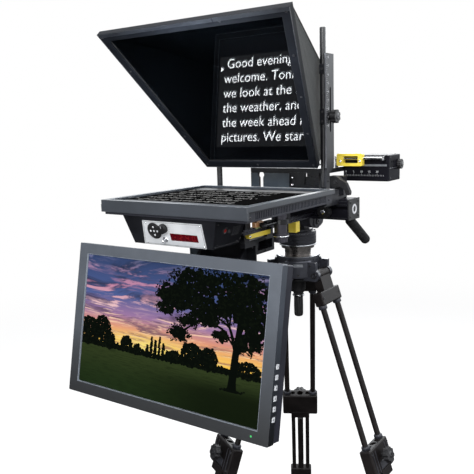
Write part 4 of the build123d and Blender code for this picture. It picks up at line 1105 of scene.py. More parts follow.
# ------------------------------------------------------------------ prompter monitor housing
part = Solids()
for y in (-532, -190):
    for side in SIDES:
        part.pan_screw(at(side * 194.0, y, 1331), X * side, 3.0, 1.5)
part.make("prompter_side_screws", "black_screw", "prompter", "black_anodised")
part = Solids()
for k in range(3):
    part.lathe(at(-70 + 24 * k, -175.0, 1332), Y, [
        (0, -1), (("hex", 7.6), -1), (("hex", 7.6), 1.8), (5.2, 1.8), (5.2, 7.5), (4.0, 7.5),
        (4.0, 3), (0, 3)], 24, False)
part.make("prompter_fittings", "zinc", "prompter", "steel")
part = Solids()
part.box(at(40, -173.9, 1332), (30, 3, 14), 0.8)
part.box(at(40, -172.2, 1332), (24, 1.2, 9), 0.4)
part.box(at(85, -174.2, 1332), (20, 2.4, 12), 0.8)
part.make("prompter_rear_sockets", "black_plastic", "prompter", "black_plastic")
# painted highlights: thin pale tubes round the outside of the bezel and round its opening, where
# the edges catch the light
part = Solids()
part.tube([at(-198.5, -550.1, 1354.6), at(198.5, -550.1, 1354.6)], 0.55)
for x in (200.1, -200.1):
    part.tube([at(x, -548.5, 1354.6), at(x, -170.5, 1354.6)], 0.5)
for y in (-535, -183):
    part.tube([at(-186, y, 1355.0), at(186, y, 1355.0)], 0.5)
for x in (-186, 186):
    part.tube([at(x, -535, 1355.0), at(x, -183, 1355.0)], 0.5)
part.make("prompter_edge_painted_highlights", "bezel_bead", "prompter", "monitor_grey")

# level: green vial with two marking rings
turned("level_vial_tube", "vial_green", "prompter", "vial_red", at(110.3, -384, 1285.6), Y,
       [(0, 0), (2.2, 0.3), (2.8, 1.2), (2.8, 16.8), (2.2, 17.7), (0, 18)], 20)
part = Solids()
for y in (-378, -372):
    part.lathe(at(110.3, y - 0.4, 1285.6), Y, [
        (2.82, 0), (3.05, 0.05), (3.05, 0.75), (2.82, 0.8), (2.82, 0)], 20)
part.make("level_vial_rings", "black_plastic", "prompter", "black_plastic")

# posts: chrome ring on each, and the ball of the lever
part = Solids()
for side in SIDES:
    part.lathe(at(side * 124, -300, 1254.6), Z, [
        (15.9, 0), (19.4, 0.2), (19.9, 0.8), (19.9, 2.2), (19.2, 2.8), (15.9, 2.9), (15.9, 0)],
        48)
part.make("post_chrome_rings", "chrome", "prompter", "chrome")
turned("post_lever_ball", "black_plastic", "post_lever", "black_plastic",
       at(124, -367, 1290), -Y,
       [(0, 0), (4.5, 0.2), (7.5, 3.5), (8.1, 7.5), (7.0, 12), (4.2, 14.6), (0, 15.4)], 28)

# ------------------------------------------------------------------ hood cloth
# Four panels from the glass frame to the rear hoop. Along a panel, s runs 0 to 1 from one
# corner seam to the next and t runs 0 to 1 from front to rear.
HOOD_DEPTH, CLOTH = 14.25, 1.5      # front edge behind the frame's face; cloth thickness
LOW, HIGH = 3, 426                  # front edge's lower and upper stations up the frame
FRONT = [frame_at(side * (frame_half(up) - 3), up, HOOD_DEPTH)
         for side, up in ((-1, LOW), (1, LOW), (1, HIGH), (-1, HIGH))]
REAR = [at(-104, -20, 1452), at(104, -20, 1452), at(104, -20, 1640), at(-104, -20, 1640)]
HOOD_MIDDLE = sum(FRONT + REAR, Vector()) / 8


def panel_point(k, s, t, inward=0.0):
    """Point on panel k moved inward, and the panel's inward normal."""
    a0, a1, b0, b1 = FRONT[k], FRONT[(k + 1) % 4], REAR[k], REAR[(k + 1) % 4]
    point = (a0 + (a1 - a0) * s) * (1 - t) + (b0 + (b1 - b0) * s) * t
    normal = (a1 - a0).cross(b0 - a0).normalized()
    if normal.dot(HOOD_MIDDLE - point) < 0:
        normal = -normal
    return point + normal * (inward * MM), normal


def seam_point(k, t, inward):
    """Point on the corner seam where panel k starts."""
    point, normal = panel_point(k, 0, t)
    return point + (normal + panel_point((k + 3) % 4, 1, t)[1]).normalized() * (inward * MM)


def panel_length(k):
    n = (k + 1) % 4
    return ((FRONT[k] + FRONT[n]) / 2 - (REAR[k] + REAR[n]) / 2).length


def sag(k, s, t):
    """Inward pull of the stretched cloth, with tension folds running from the corners."""
    pull = (3.6 if k in (0, 2) else 3.0) * (
        (sin(pi * s) ** 0.8) * (sin(pi * min(max(t, 0), 1)) ** 0.7))
    middle = (s * (1 - s) * 4) ** 0.5 * (t * (1 - t) * 4) ** 0.5
    for corner_s, corner_t, phase in ((0, 0, 0.0), (1, 0, 1.3), (0, 1, 2.1), (1, 1, 0.7)):
        ds, dt = s - corner_s, t - corner_t
        reach = sqrt(ds * ds + dt * dt) + 1e-6
        angle = atan2(abs(dt), abs(ds))
        pull += (1.0 * middle * exp(-reach * 2.6)
                 * (0.5 + 0.5 * sin(angle * 15 + phase + k * 1.7)) * min(1, reach * 6))
    drift = mnoise.fractal(Vector((s * 3.1 + k * 7.3, t * 2.7, k * 1.9)), 0.9, 2.1, 4)
    pull += 1.1 * middle * (drift + 0.35)
    # soft ripples beside the seams
    pull += 0.35 * middle * sin(t * 46 + k) * exp(-min(s, 1 - s) * 14)
    return max(pull, 0.0)


def settle_normals(cloth, sharp_angle=None):
    """Face normals outward, and mark edges sharp beyond the angle."""
    bm = bmesh.new()
    bm.from_mesh(cloth.data)
    bmesh.ops.recalc_face_normals(bm, faces=bm.faces)
    if sharp_angle is not None:
        for edge in bm.edges:
            if len(edge.link_faces) == 2 and edge.calc_face_angle(0) > sharp_angle:
                edge.smooth = False
    bm.to_mesh(cloth.data)
    bm.free()


def hood_cloth():
    across, along = ((64, 52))
    verts, faces, indices, layers = [], [], [], []
    for thick in (0, CLOTH):
        columns = []
        for k in range(4):
            for i in range(across):
                column = []
                for j in range(along + 1):
                    s, t = i / across, j / along
                    if i == 0:
                        point = seam_point(k, t, 0.4 + thick)
                    else:
                        point = panel_point(k, s, t, sag(k, s, t) + thick + 0.2)[0]
                    column.append(len(verts))
                    verts.append(point)
                columns.append(column)
        layers.append(columns)
    count = 4 * across
    for i in range(count):
        A, B = layers[0][i], layers[0][(i + 1) % count]
        C, D = layers[1][i], layers[1][(i + 1) % count]
        for j in range(along):
            faces += [(A[j], A[j + 1], B[j + 1], B[j]), (C[j], D[j], D[j + 1], C[j + 1])]
            indices += [0, 1]
        faces += [(A[0], B[0], D[0], C[0]), (A[along], C[along], D[along], B[along])]
        indices += [0, 0]
    made = new_obj("hood_cloth", verts, faces, ["hood_cloth", "hood_lining"], "hood",
                   [True] * len(faces), indices)
    settle_normals(made, radians(38))
    return made


# rounded opening in the rear cloth: half width, half height, centre height
PORT_X, PORT_HALF_Z, PORT_Z = 78.0, 72.0, 1546


def port_point(angle, grow=0.0):
    """Rounded rectangle by angle."""
    c, s = cos(angle), sin(angle)
    power = 5.0
    k = (abs(c / (PORT_X + grow)) ** power
         + abs(s / (PORT_HALF_Z + grow)) ** power) ** (-1 / power)
    return c * k, s * k


def rear_cloth():
    """Rear panel, gathered towards its opening."""
    count = 120
    verts, faces, indices, layers = [], [], [], []
    for thick in (0, CLOTH):
        grid = []
        for q in (0.0, 0.12, 0.3, 0.5, 0.7, 0.88, 1.0):      # share from opening to edge
            row = []
            for i in range(count):
                angle = 2 * pi * i / count
                inner_x, inner_z = port_point(angle)
                c, s = cos(angle), sin(angle)
                k = min(101.5 / max(abs(c), 1e-6), 91.0 / max(abs(s), 1e-6))
                x = inner_x + (c * k - inner_x) * q
                z = inner_z + (s * k - inner_z) * q
                gather = (0.7 * sin(angle * 38) * (1 - q) ** 2
                          + 0.5 * mnoise.noise(Vector((x * 0.03, z * 0.03, 0))))
                row.append(len(verts))
                verts.append(at(x, -21.6 - thick + gather * (1 - q ** 4), PORT_Z + z))
            grid.append(row)
        layers.append(grid)
    front, back = layers
    for i in range(count):
        k = (i + 1) % count
        for j in range(len(front) - 1):
            faces += [(front[j][i], front[j][k], front[j + 1][k], front[j + 1][i]),
                      (back[j][i], back[j + 1][i], back[j + 1][k], back[j][k])]
            indices += [0, 1]
        faces += [(front[0][i], back[0][i], back[0][k], front[0][k]),
                  (front[-1][i], front[-1][k], back[-1][k], back[-1][i])]
        indices += [0, 0]
    made = new_obj("hood_rear_cloth", verts, faces, ["hood_cloth", "hood_lining"], "hood",
                   [True] * len(faces), indices)
    settle_normals(made)


def lens_cuff():
    """Gathered elastic round the opening."""
    count, seg = 240, 10
    verts, faces = [], []
    for i in range(count):
        angle = 2 * pi * i / count
        x, z = port_point(angle, -0.5)
        length = sqrt(x ** 2 + z ** 2)
        for j in range(seg):
            turn = 2 * pi * j / seg
            radius = 3.4 + 0.55 * sin(angle * 42) + 0.3 * sin(angle * 97 + 1)
            out = radius * cos(turn)
            verts.append(at(x + x / length * out, -22.4 + radius * 0.9 * sin(turn),
                            PORT_Z + z + z / length * out))
    for i in range(count):
        k = (i + 1) % count
        faces += bridge(range(i * seg, (i + 1) * seg), range(k * seg, (k + 1) * seg))
    new_obj("hood_lens_cuff", verts, faces, "binding", "hood",
            [True] * len(faces))


def lens_flap(name, side, base_y):
    """Hanging flap across half the opening, thicker at its free edge."""
    across, up = ((72, 44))
    verts, faces = [], []
    for face_sign in SIDES:
        for i in range(across + 1):
            for j in range(up + 1):
                q, t = i / across, j / up
                x = side * (82.0 - 91.0 * q)
                z = 1470.5 + 151.0 * t
                fold = (0.95 * sin(x * 0.36 + 0.8 * sin(z * 0.021) + side)
                        * (0.35 + 0.65 * (1 - t) ** 0.8) + 0.45 * sin(x * 0.83 + z * 0.013))
                fold += 0.5 * mnoise.noise(Vector((x * 0.05, side * 3.0, z * 0.02)))
                half = 0.55 + (0.5 if q > 0.95 else 0.0)
                verts.append(at(x, base_y + fold * 0.75 + face_sign * half, z))

    def number(layer, i, j):
        return (layer * (across + 1) + i) * (up + 1) + j

    def face(*corners):
        faces.append(tuple(number(*corner) for corner in corners))

    for i in range(across):
        for j in range(up):
            face((0, i, j), (0, i + 1, j), (0, i + 1, j + 1), (0, i, j + 1))
            face((1, i, j), (1, i, j + 1), (1, i + 1, j + 1), (1, i + 1, j))
    for i in range(across):
        face((0, i, 0), (1, i, 0), (1, i + 1, 0), (0, i + 1, 0))
        face((0, i, up), (0, i + 1, up), (1, i + 1, up), (1, i, up))
    for j in range(up):
        face((0, 0, j), (0, 0, j + 1), (1, 0, j + 1), (1, 0, j))
        face((0, across, j), (1, across, j), (1, across, j + 1), (0, across, j + 1))
    if side > 0:
        faces = [tuple(reversed(loop)) for loop in faces]
    new_obj(name, verts, faces, "hood_lining", "hood", [True] * len(faces))


def hood_piping():
    """Piping down the corner seams and round the rear hoop."""
    part = Solids()
    for k in range(4):
        part.tube([seam_point(k, 0.006 + 0.988 * j / 24, 1.3) for j in range(25)], 1.7)
    middle = sum(REAR, Vector()) / 4
    hoop = [corner + (middle - corner) * 0.012 for corner in REAR]
    for start, end in zip(hoop, hoop[1:] + hoop[:1]):
        part.tube([start + (end - start) * i / 16 - Y * 1.6 * MM + Z * 0.3 * MM * sin(i * 1.7)
                   for i in range(17)], 1.9)
    part.make("hood_piping", "binding", "hood", "hood_cloth")


def front_hem():
    """A doubled band of cloth along the front edge of each panel."""
    part = Solids()
    steps = 40
    for k in range(4):
        verts, faces = [], []
        width = 0.016 / panel_length(k)
        for i in range(steps + 1):
            s = 0.004 + 0.992 * i / steps
            for t, lift in ((0.001, 0.35), (0.001, -0.35),
                            (width * 0.5, -0.75 + 0.12 * sin(i * 0.9)),
                            (width, -0.5), (width, 0.5)):
                verts.append(panel_point(k, s, t, sag(k, s, t) + lift)[0])
        for i in range(steps):
            faces += bridge(range(i * 5, i * 5 + 5), range(i * 5 + 5, i * 5 + 10))
        faces.append(tuple(range(5)))
        faces.append(tuple(steps * 5 + j for j in reversed(range(5))))
        part.add(verts, faces, True)
    part.make("hood_front_hem", "binding", "hood", "hood_cloth")


def stitches():
    """A row each side of every corner seam and one along the hem; lengths in metres."""
    pitch = 0.0065
    part = Solids()

    def stitch(k, s, t, step_s, step_t, lift, height, bevel):
        inward = sag(k, s, t) + lift
        start, normal = panel_point(k, s, t, inward)
        ahead = panel_point(k, s + step_s, t + step_t, inward)[0]
        along = (ahead - start).normalized()
        part.box(start, (3.6, 0.6, height), bevel, (along, normal.cross(along), normal))

    for k in range(4):
        for panel, seam, inward_s in ((k, 0.0, 1), ((k + 3) % 4, 1.0, -1)):
            count = int((FRONT[k] - REAR[k]).length / pitch)
            n = (panel + 1) % 4
            for i in range(1, count):
                t = i / count
                width = ((FRONT[panel] - FRONT[n]).length * (1 - t)
                         + (REAR[panel] - REAR[n]).length * t)
                stitch(panel, seam + inward_s * 0.0062 / width, t, 0, 0.25 / count,
                       lift=0.05, height=0.5, bevel=0.15)
        count = int((FRONT[k] - FRONT[(k + 1) % 4]).length / pitch)
        for i in range(2, count - 1):
            stitch(k, i / count, 0.0125 / panel_length(k), 0.2 / count, 0,
                   lift=-0.62, height=0.4, bevel=0.12)
    part.make("hood_stitches", "thread", "hood", "hood_cloth")


hood = hood_cloth()
rear_cloth()
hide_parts("hood_shell")
lens_cuff()
lens_flap("hood_lens_flap_left", -1, -27.2)
lens_flap("hood_lens_flap_right", 1, -30.6)
hood_piping()
front_hem()
stitches()

# ------------------------------------------------------------------ glass frame
part = Solids()
for x, up in ((-158, 10), (0, 10), (158, 10), (-246, 419), (-90, 419), (90, 419), (246, 419)):
    part.pan_screw(frame_at(x, up), -FRAME_IN, 2.6, 1.3)
for side in SIDES:
    for up in (110, 215, 320):
        part.pan_screw(frame_at(side * (frame_half(up) - 10.4), up), -FRAME_IN, 2.6, 1.3)
part.make("frame_screws", "black_screw", "hood", "black_anodised")
# cap strip along the top member's front, split at a joint, and beads on the outer edges
part = Solids()
for x0, x1 in ((-255.5, 72.0), (75.0, 255.5)):
    part.box(frame_at((x0 + x1) / 2, 424.2, -0.35), (x1 - x0, 9.0, 0.9), 0.25, FRAME_AXES)
part.box(frame_at(-40, 424.2, -0.85), (178, 4.0, 0.9), 0.3, FRAME_AXES)
for side in SIDES:
    part.tube([frame_at(side * (frame_half(0) - 0.8), 1, -0.1),
               frame_at(side * (frame_half(428) - 0.8), 428, -0.1)], 0.8)
part.tube([frame_at(-165, 0.8, -0.1), frame_at(165, 0.8, -0.1)], 0.8)
part.make("frame_cap_strips", "frame_edge", "hood", "black_anodised")
# rubber gasket round the glass
INSET = 21.0
side_inset = INSET * sqrt(1 + FLARE * FLARE)
up0, up1 = INSET, FRAME_LENGTH - INSET
half0, half1 = frame_half(up0) - side_inset, frame_half(up1) - side_inset
corners = [frame_at(x, up, 4.2)
           for x, up in ((-half0, up0), (half0, up0), (half1, up1), (-half1, up1))]
part = Solids()
for start, end in zip(corners, corners[1:] + corners[:1]):
    part.tube([start, end], 1.5)
part.make("glass_gasket", "foam_rubber", "hood", "black_plastic")
turned("hood_knob_cap", "black_screw", "hood_knob", "black_plastic", at(192.4, -138, 1527), X,
       [(0, -0.4), (8.5, -0.4), (8.2, 0.7), (6.0, 1.3), (3.0, 1.4), (("hex", 2.4), 1.4),
        (("hex", 2.4), -0.1), (0, -0.2)], 36, False)
part = Solids()
for side in SIDES:
    for z in (1516, 1538, 1639):
        part.screw(at(side * 160.8, -157, z), -Y, 2.6, 2.2)
part.make("rod_clamp_screws", "black_screw", "hood", "black_anodised")

# ------------------------------------------------------------------ carriage details
part = Solids()
for side in SIDES:
    out = X * side
    for y, z in ((-74, 1274), (-26, 1274), (-74, 1311), (-26, 1311)):
        part.screw(at(side * 196, y, z), out, 3.2, 1.8)
    for z in (1318, 1335):
        part.screw(at(side * 155.5, -160, z), -Y, 3.2, 2.4)
    part.pan_screw(at(side * 98, -423.4, 1279), -Y, 3.4, 1.0)
    for y in (-75, -59):
        part.screw(at(side * 155.5, y, 1327), Z, 2.8, 2.2)
    part.screw(at(side * 63, 0, 1246), out, 7.5, 2.6)
    for sign in (1, -1):
        part.pan_screw(at(side * 61, sign * 30 * cos(pi / 4), 1256), out, 2.0, 1.0)
for z in (1322, 1345, 1372):
    part.screw(at(173, -152.5, z), X, 3.0, 2.0)
for x, y in ((-102, -57), (-102, 90), (121, -57), (121, 90)):
    part.screw(at(x, y, 1396), Z, 3.4, 2.2)
for x in (-100, -60, -20, 6):
    part.screw(at(x, -49, 1325), Z, 2.8, 2.0)
for x in (142, 250):
    for y in (30, 90):
        part.pan_screw(at(x, y, 1426), Z, 2.4, 1.1)
for y, z in ((30, 1366), (92, 1366), (30, 1419)):
    part.pan_screw(at(260, y, z), X, 2.4, 1.1)
for x in (-72, 72):
    for y in (4, 50):
        part.screw(at(x, y, 1278), Z, 3.2, 2.2)
part.screw(at(124.0, -40, 1368.5), -X, 2.4, 1.4)
part.make("carriage_screws", "black_screw", "carriage", "black_anodised")

# satin plate face below the hood with a notch in its top edge; outline x, z
PLATE = ((-108.5, 1330.5), (12, 1330.5), (12, 1382), (-66.4, 1382), (-66.4, 1376.5),
         (-70.0, 1370), (-70.0, 1330.6), (-84.0, 1330.6), (-84.0, 1370), (-87.6, 1376.5),
         (-87.6, 1382), (-108.5, 1382))
part = Solids()
part.prism([at(x, -63.0, z) for x, z in PLATE], -Y * 0.9)
part.make("bracket_face_plate", "bracket_face", "carriage", "black_anodised")
part = Solids()
part.lathe(at(23.5, -65.2, 1352), -Y, [
    (0, 0), (4.6, 0), (4.6, 2.4), (3.4, 3.4), (("hex", 2.4), 3.4), (("hex", 2.4), 1.2),
    (0, 1.1)], 24, False)
part.lathe(at(23.5, -64.0, 1370), -Y, [(0, 0), (3.4, 0), (3.4, 2.0), (2.6, 2.8), (0, 3.0)],
           20, False)
part.make("bracket_studs", "chrome", "carriage", "chrome")
turned("beam_knob_cap", "chrome", "beam_knob", "chrome", at(134, -107.0, 1288), -Y,
       [(0, -0.5), (5.8, -0.5), (5.8, 0.7), (4.8, 1.3), (0, 1.4)], 28, False)

# scale along the upright: ticks every 5, a number at every fourth
SCALE_Z, TICK_PITCH = 1506, 5
part = Solids()
for k in range(33):
    length = 6.0 if k % 4 == 0 else 3.4
    part.box(at(173.05, -156.5 + length / 2, SCALE_Z + TICK_PITCH * k), (0.16, length, 0.7),
             0.04)
for k in range(9):
    part.text(str(k), 8.2, at(173.0, -149.6, SCALE_Z + 4 * TICK_PITCH * k - 2.9), Y, Z, X)
part.make("upright_scale", "white_ink", "carriage", "white_panel")
part = Solids()
part.box(at(170.5, -159.25, 1539), (4.2, 0.7, 270), 0.2)
part.make("upright_edge_strip", "upright_edge", "carriage", "aluminium")
# side box: scale across its front, a number at every fifth tick
TICK_PITCH = 4.4
part = Solids()
for k in range(25):
    lift, height = (1.2, 6.4) if k % 5 == 0 else (0, 4.0)
    part.box(at(140 + TICK_PITCH * k, 19.9, 1373 + lift), (0.6, 0.16, height), 0.03)
for k in range(5):
    part.text(str(k * 5), 7.4, at(140 + 5 * TICK_PITCH * k, 19.9, 1380.5), X, Z, -Y,
              align="CENTER")
part.make("side_box_scale", "white_ink", "carriage", "white_panel")
# grey band on the front and a fine strip on the +X side
part = Solids()
part.box(at(196, 19.6, 1399.5), (116, 1.0, 5.0), 0.3)
part.box(at(260.4, 60, 1392), (0.9, 70, 0.8), 0.2)
part.make("side_box_band", "tripod_trim", "carriage", "aluminium")
# ribbed rubber strips on the camera plate
part = Solids()
for x in (-34, 34):
    part.box(at(x, 42, 1396.5), (26, 96, 1.0), 0.3)
    for k in range(23):
        part.box(at(x, -3.5 + 4.1 * k, 1397.1), (24, 1.7, 0.8), 0.3)
part.make("camera_plate_pads", "foam_rubber", "carriage", "black_plastic")
part = Solids()
for k in range(9):
    part.box(at(68 + 4.3 * k, -74.3, 1329.5), (1.4, 1.2, 19), 0.4)
part.make("step_block_ribs", "black_anodised", "carriage", "black_anodised")
# beam: raised lands along the front and a plain ring on the +X end
part = Solids()
for z in (1271, 1305.5, 1314):
    part.box(at(0, -82.2, z), (380, 0.8, 2.0), 0.3)
part.make("beam_lands", "black_anodised", "carriage", "black_anodised")
turned("beam_end_ring", "white_ink", "carriage", "white_panel", at(196, -50, 1292.5), X,
       [(7.5, -0.2), (13.0, -0.2), (13.0, 0.5), (12.3, 0.8), (8.2, 0.8), (7.5, 0.5),
        (7.5, -0.2)], 40, False)
part = Solids()
for x in (131, 186):
    part.lathe(at(x, 4.6, 1411), -Y, [(0, -0.3), (3.6, -0.3), (3.6, 1.0), (2.8, 1.7), (0, 1.8)],
               20, False)
part.make("slide_lock_studs", "chrome", "slide_lock", "chrome")

# ------------------------------------------------------------------ levers, knobs, grips
part = Solids()
part.screw(at(152, -70, 1362), -Y, 5.5, 1.8)
part.make("bracket_lever_screw", "black_screw", "bracket_lever", "black_plastic")
turned("pan_bar_knob_cap", "black_screw", "pan_bar_knob", "black_plastic", at(166, 2, 1272), X,
       [(0, -0.4), (6.5, -0.4), (6.3, 0.5), (4.5, 1.0), (("hex", 2.2), 1.0),
        (("hex", 2.2), -0.1), (0, -0.15)], 36, False)
turned("slide_knob_cap", "black_screw", "slide_knob", "black_plastic", at(270, 86, 1400), X,
       [(0, -0.4), (6.5, -0.4), (6.3, 0.5), (4.5, 0.9), (0, 1.0)], 28, False)

# pan bar grip: foam sleeve with fine grooves, 40 along the bar from its pivot
BAR_Y, BAR_Z = 0.833, -0.553
profile = [(7.2, 0.0), (11.5, 0.4), (13.6, 3.0)]
for k in range(24):
    height = 6.0 + k * 5.0
    profile += [(13.6, height), (13.0, height + 0.5), (13.0, height + 1.3),
                (13.6, height + 1.8)]
profile += [(13.6, 128), (12.6, 130.8), (9.0, 132), (0, 132), (0, 128.2), (7.2, 128.2),
            (7.2, 0.0)]
grip = turned("pan_bar_foam_grip", "foam_rubber", "pan_bar", "foam_rubber",
              at(143, 2 + BAR_Y * 40, 1272 + BAR_Z * 40), Vector((0, BAR_Y, BAR_Z)),
              profile, 40)
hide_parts("pan_bar_grip")
# tie-down handle, bottom to top: fluted grip, hub, dished washer, stud
grip = turned("tie_down_grip", "black_plastic", "tie_down", "black_plastic", at(0, 0, 1040), Z, [
    (0, -72), (8.5, -72), (11.5, -70), (("flute", 13.0, 9, 1.6), -65),
    (("flute", 13.4, 9, 1.8), -40), (("flute", 13.0, 9, 1.6), -16), (12.0, -13), (15.9, -12),
    (16.1, -11), (16.1, -8.5), (15.6, -7.6), (13.4, -7), (14.5, -3), (19.2, 3), (20.0, 6),
    (20.0, 30), (24, 33.5), (33.2, 34.8), (33.9, 35.6), (33.9, 40.4), (33.2, 41.4),
    (24, 41.6), (6.05, 41.6), (6.05, 84), (5.4, 85), (0, 85)], 72)
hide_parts("tie_down_handle")
turned("tie_down_ring", "zinc", "tie_down", "steel", at(0, 0, 1030.2), Z,
       [(15.9, -1.6), (17.0, -1.2), (17.3, 0), (17.0, 1.2), (15.9, 1.6), (15.9, -1.6)], 48)

# ------------------------------------------------------------------ head
turned("head_bright_ring", "zinc", "head_pan", "steel", at(0, 0, 1178.4), Z,
       [(49.1, 0), (51.6, 0.2), (52.2, 0.9), (52.2, 2.7), (51.6, 3.4), (49.1, 3.5),
        (49.1, 0)], 96)
part = Solids()
for k in range(72):
    angle = 2 * pi * k / 72
    length = 3.2 if k % 6 == 0 else 1.8
    out = Vector((cos(angle), sin(angle), 0))
    part.box(at(0, 0, 1213 + (1.6 - length / 2)) + out * 52.02 * MM, (0.5, length, 0.16), 0.03,
             (out.cross(Z), Z, out))
part.make("head_pan_scale", "white_ink", "head_pan", "white_panel")
part = Solids()
for k in range(6):
    angle = 2 * pi * (k + 0.5) / 6
    part.screw(at(47.4 * cos(angle), 47.4 * sin(angle), 1218), Z, 2.4, 1.6)
part.make("head_drum_screws", "black_screw", "head_pan", "cast_black")

# ------------------------------------------------------------------ tripod
AZIMUTHS = {"right": -0.6, "rear": 119.4, "left": -120.6}
SPLAY = radians(18.6)
HINGE_R, HINGE_Z = 72, 1100

screws, plates = Solids(), Solids()
for azimuth in AZIMUTHS.values():
    angle = radians(azimuth)
    out, across = Vector((cos(angle), sin(angle), 0)), Vector((-sin(angle), cos(angle), 0))
    for side in SIDES:
        for reach, z, r, h in ((HINGE_R, HINGE_Z, 8.5, 3.2), (60, 1126, 3.0, 1.6)):
            screws.screw(at(reach * out.x + side * 40 * across.x,
                            reach * out.y + side * 40 * across.y, z), across * side, r, h)
    # blank plate between the legs
    angle += radians(60)
    out = Vector((cos(angle), sin(angle), 0))
    plates.box(at(66.2 * out.x, 66.2 * out.y, 1128), (26, 9, 1.4), 0.4, (Z.cross(out), Z, out))
    screws.screw(at(66 * out.x, 66 * out.y, 1100), out, 3.4, 2.0)
for k in range(12):
    angle = radians(30 * k + 15)
    screws.screw(at(63.2 * cos(angle), 63.2 * sin(angle), 1142), Z, 2.0, 1.2)
screws.make("crown_screws", "black_screw", "tripod", "cast_black")
plates.make("crown_plates", "tripod_trim", "tripod", "aluminium")
turned("bowl_rim_ring", "tripod_trim", "tripod", "aluminium", at(0, 0, 1149.3), Z,
       [(52.5, -0.4), (59.3, -0.4), (59.3, 0.5), (58.4, 0.9), (53.4, 0.9), (52.5, 0.5),
        (52.5, -0.4)], 96)


def leg_fittings(leg, azimuth):
    angle = radians(azimuth)
    radial, across = Vector((cos(angle), sin(angle), 0)), Vector((-sin(angle), cos(angle), 0))
    out = radial * cos(SPLAY) + Z * sin(SPLAY)        # square to the leg, outward
    down = radial * sin(SPLAY) - Z * cos(SPLAY)       # along the leg
    axes = (across, down, out)

    def leg_at(x, y, z):
        return (at(HINGE_R * cos(angle), HINGE_R * sin(angle), HINGE_Z)
                + out * (x * MM) + across * (y * MM) - down * (z * MM))

    part = Solids()
    # collars where the tubes enter the castings
    for y in (-42, 42):
        part.lathe(leg_at(0, y, -84), down, [
            (8.2, -1), (11.4, -0.6), (12.0, 0.6), (12.0, 8), (10.8, 10), (8.2, 10.4),
            (8.2, -1)], 32)
        part.lathe(leg_at(0, y, -481), down, [
            (8.2, 0), (10.8, 0.4), (12.0, 2.4), (12.0, 11.5), (8.2, 11.6), (8.2, 0)], 32)
    # lower sleeves under the mid-bracket
    for y in (-23.5, 23.5):
        part.lathe(leg_at(0, y, -570), down, [
            (6.9, -0.6), (10.2, -0.4), (10.6, 0.6), (10.6, 6.5), (9.4, 8.0), (6.9, 8.2),
            (6.9, -0.6)], 28)
    # ribs and a pad on the outer face of the mid-bracket
    for y in (-44, -30, 30, 44):
        part.box(leg_at(17.6, y, -531), (2.6, 62, 2.0), 0.6, axes)
    part.box(leg_at(17.8, 0, -547), (40, 20, 2.2), 0.8, axes)
    part.make(f"leg_{leg}_collars", "cast_black", f"leg_{leg}_upper", "leg_black")
    part = Solids()
    for y in (-50, 50):
        for z in (-505, -557):
            part.screw(leg_at(17, y, z), out, 2.6, 1.6)
    for y in (-46, 46):
        part.screw(leg_at(14, y, -65), out, 3.0, 1.8)
    part.make(f"leg_{leg}_screws", "black_screw", f"leg_{leg}_upper", "leg_black")
    turned(f"leg_{leg}_knob_cap", "black_screw", f"leg_{leg}_knob", "black_plastic",
           leg_at(45, 0, -525), out,
           [(0, -0.4), (9.0, -0.4), (8.6, 0.9), (5.4, 1.6), (("hex", 2.8), 1.6),
            (("hex", 2.8), 0.1), (0, 0.05)], 36, False)
    # length marks on the single inner tube
    part = Solids()
    for k in range(12):
        part.lathe(leg_at(0, 0, -905 - 12 * k), down, [
            (9.45, -0.25), (9.62, -0.2), (9.62, 0.2), (9.45, 0.25), (9.45, -0.25)], 24, False)
    part.make(f"leg_{leg}_length_marks", "tripod_trim", f"leg_{leg}_lower", "aluminium")
    # ribs round the rubber foot
    part = Solids()
    ankle = (HINGE_Z - 12.0) / cos(SPLAY) - 34.0
    reach = HINGE_R + sin(SPLAY) * ankle + 10
    foot = at(reach * cos(angle), reach * sin(angle), 0)
    for k in range(24):
        turn = 2 * pi * k / 24
        away = Vector((cos(turn), sin(turn), 0))
        part.box(foot + away * 32.6 * MM + Z * 5.6 * MM, (3.0, 6.0, 1.6), 0.5,
                 (away.cross(Z), Z, away))
    part.make(f"leg_{leg}_foot_ribs", "foam_rubber", f"leg_{leg}_lower", "leg_black")


for leg, azimuth in AZIMUTHS.items():
    leg_fittings(leg, azimuth)

# hanger: screws and a paler wear plate
part = Solids()
for side in SIDES:
    for z in (1248, 1222):
        part.screw(at(-7 + side * 97, -312, z), X * side, 2.8, 1.8)
    part.screw(at(side * 64, -498.8, 1062.4), X * side, 7.0, 2.2)
part.make("hanger_screws", "black_screw", "hanger", "black_anodised")
part = Solids()
part.box(at(-83, -356.4, 1207), (41, 0.9, 25), 0.4)
for x in (-99, -67):
    part.pan_screw(at(x, -356.8, 1207), -Y, 2.2, 1.1)
part.make("hanger_wear_plate", "bracket_face", "hanger", "black_anodised")
turned("cam_lever_pin", "chrome", "cam_lever", "chrome", at(103.45, -396, 1267.2), X,
       [(0, -0.2), (3.2, -0.2), (3.2, 0.5), (2.4, 1.0), (0, 1.0)], 20, False)


# ------------------------------------------------------------------ stage, light, camera
def floor_material():
    """Grey under the tripod, fading to plain white with distance."""
    mat = new_material("studio_floor")
    place = mat.xyz()
    radius = mat.math("SQRT", mat.add(mat.mul(place["X"], place["X"]),
                                      mat.mul(place["Y"], place["Y"])))
    far = mat.ease(radius, 1.6, 5.0)
    rays = mat.node("LightPath").outputs
    grey = mat.mix(mat.noise(3.0), (0.42, 0.42, 0.42), (0.44, 0.44, 0.44))
    matte = mat.node("BsdfDiffuse", {"Color": grey}).outputs[0]
    lift = mat.node("Emission", {"Color": (1, 1, 1),
                                 "Strength": mat.mul(rays["Is Camera Ray"], 0.66)}).outputs[0]
    near = mat.node("AddShader", {0: matte, 1: lift}).outputs[0]
    white = mat.node("Emission", {"Color": (1, 1, 1), "Strength": 1.0}).outputs[0]
    mat.done(mat.blend(far, near, white))


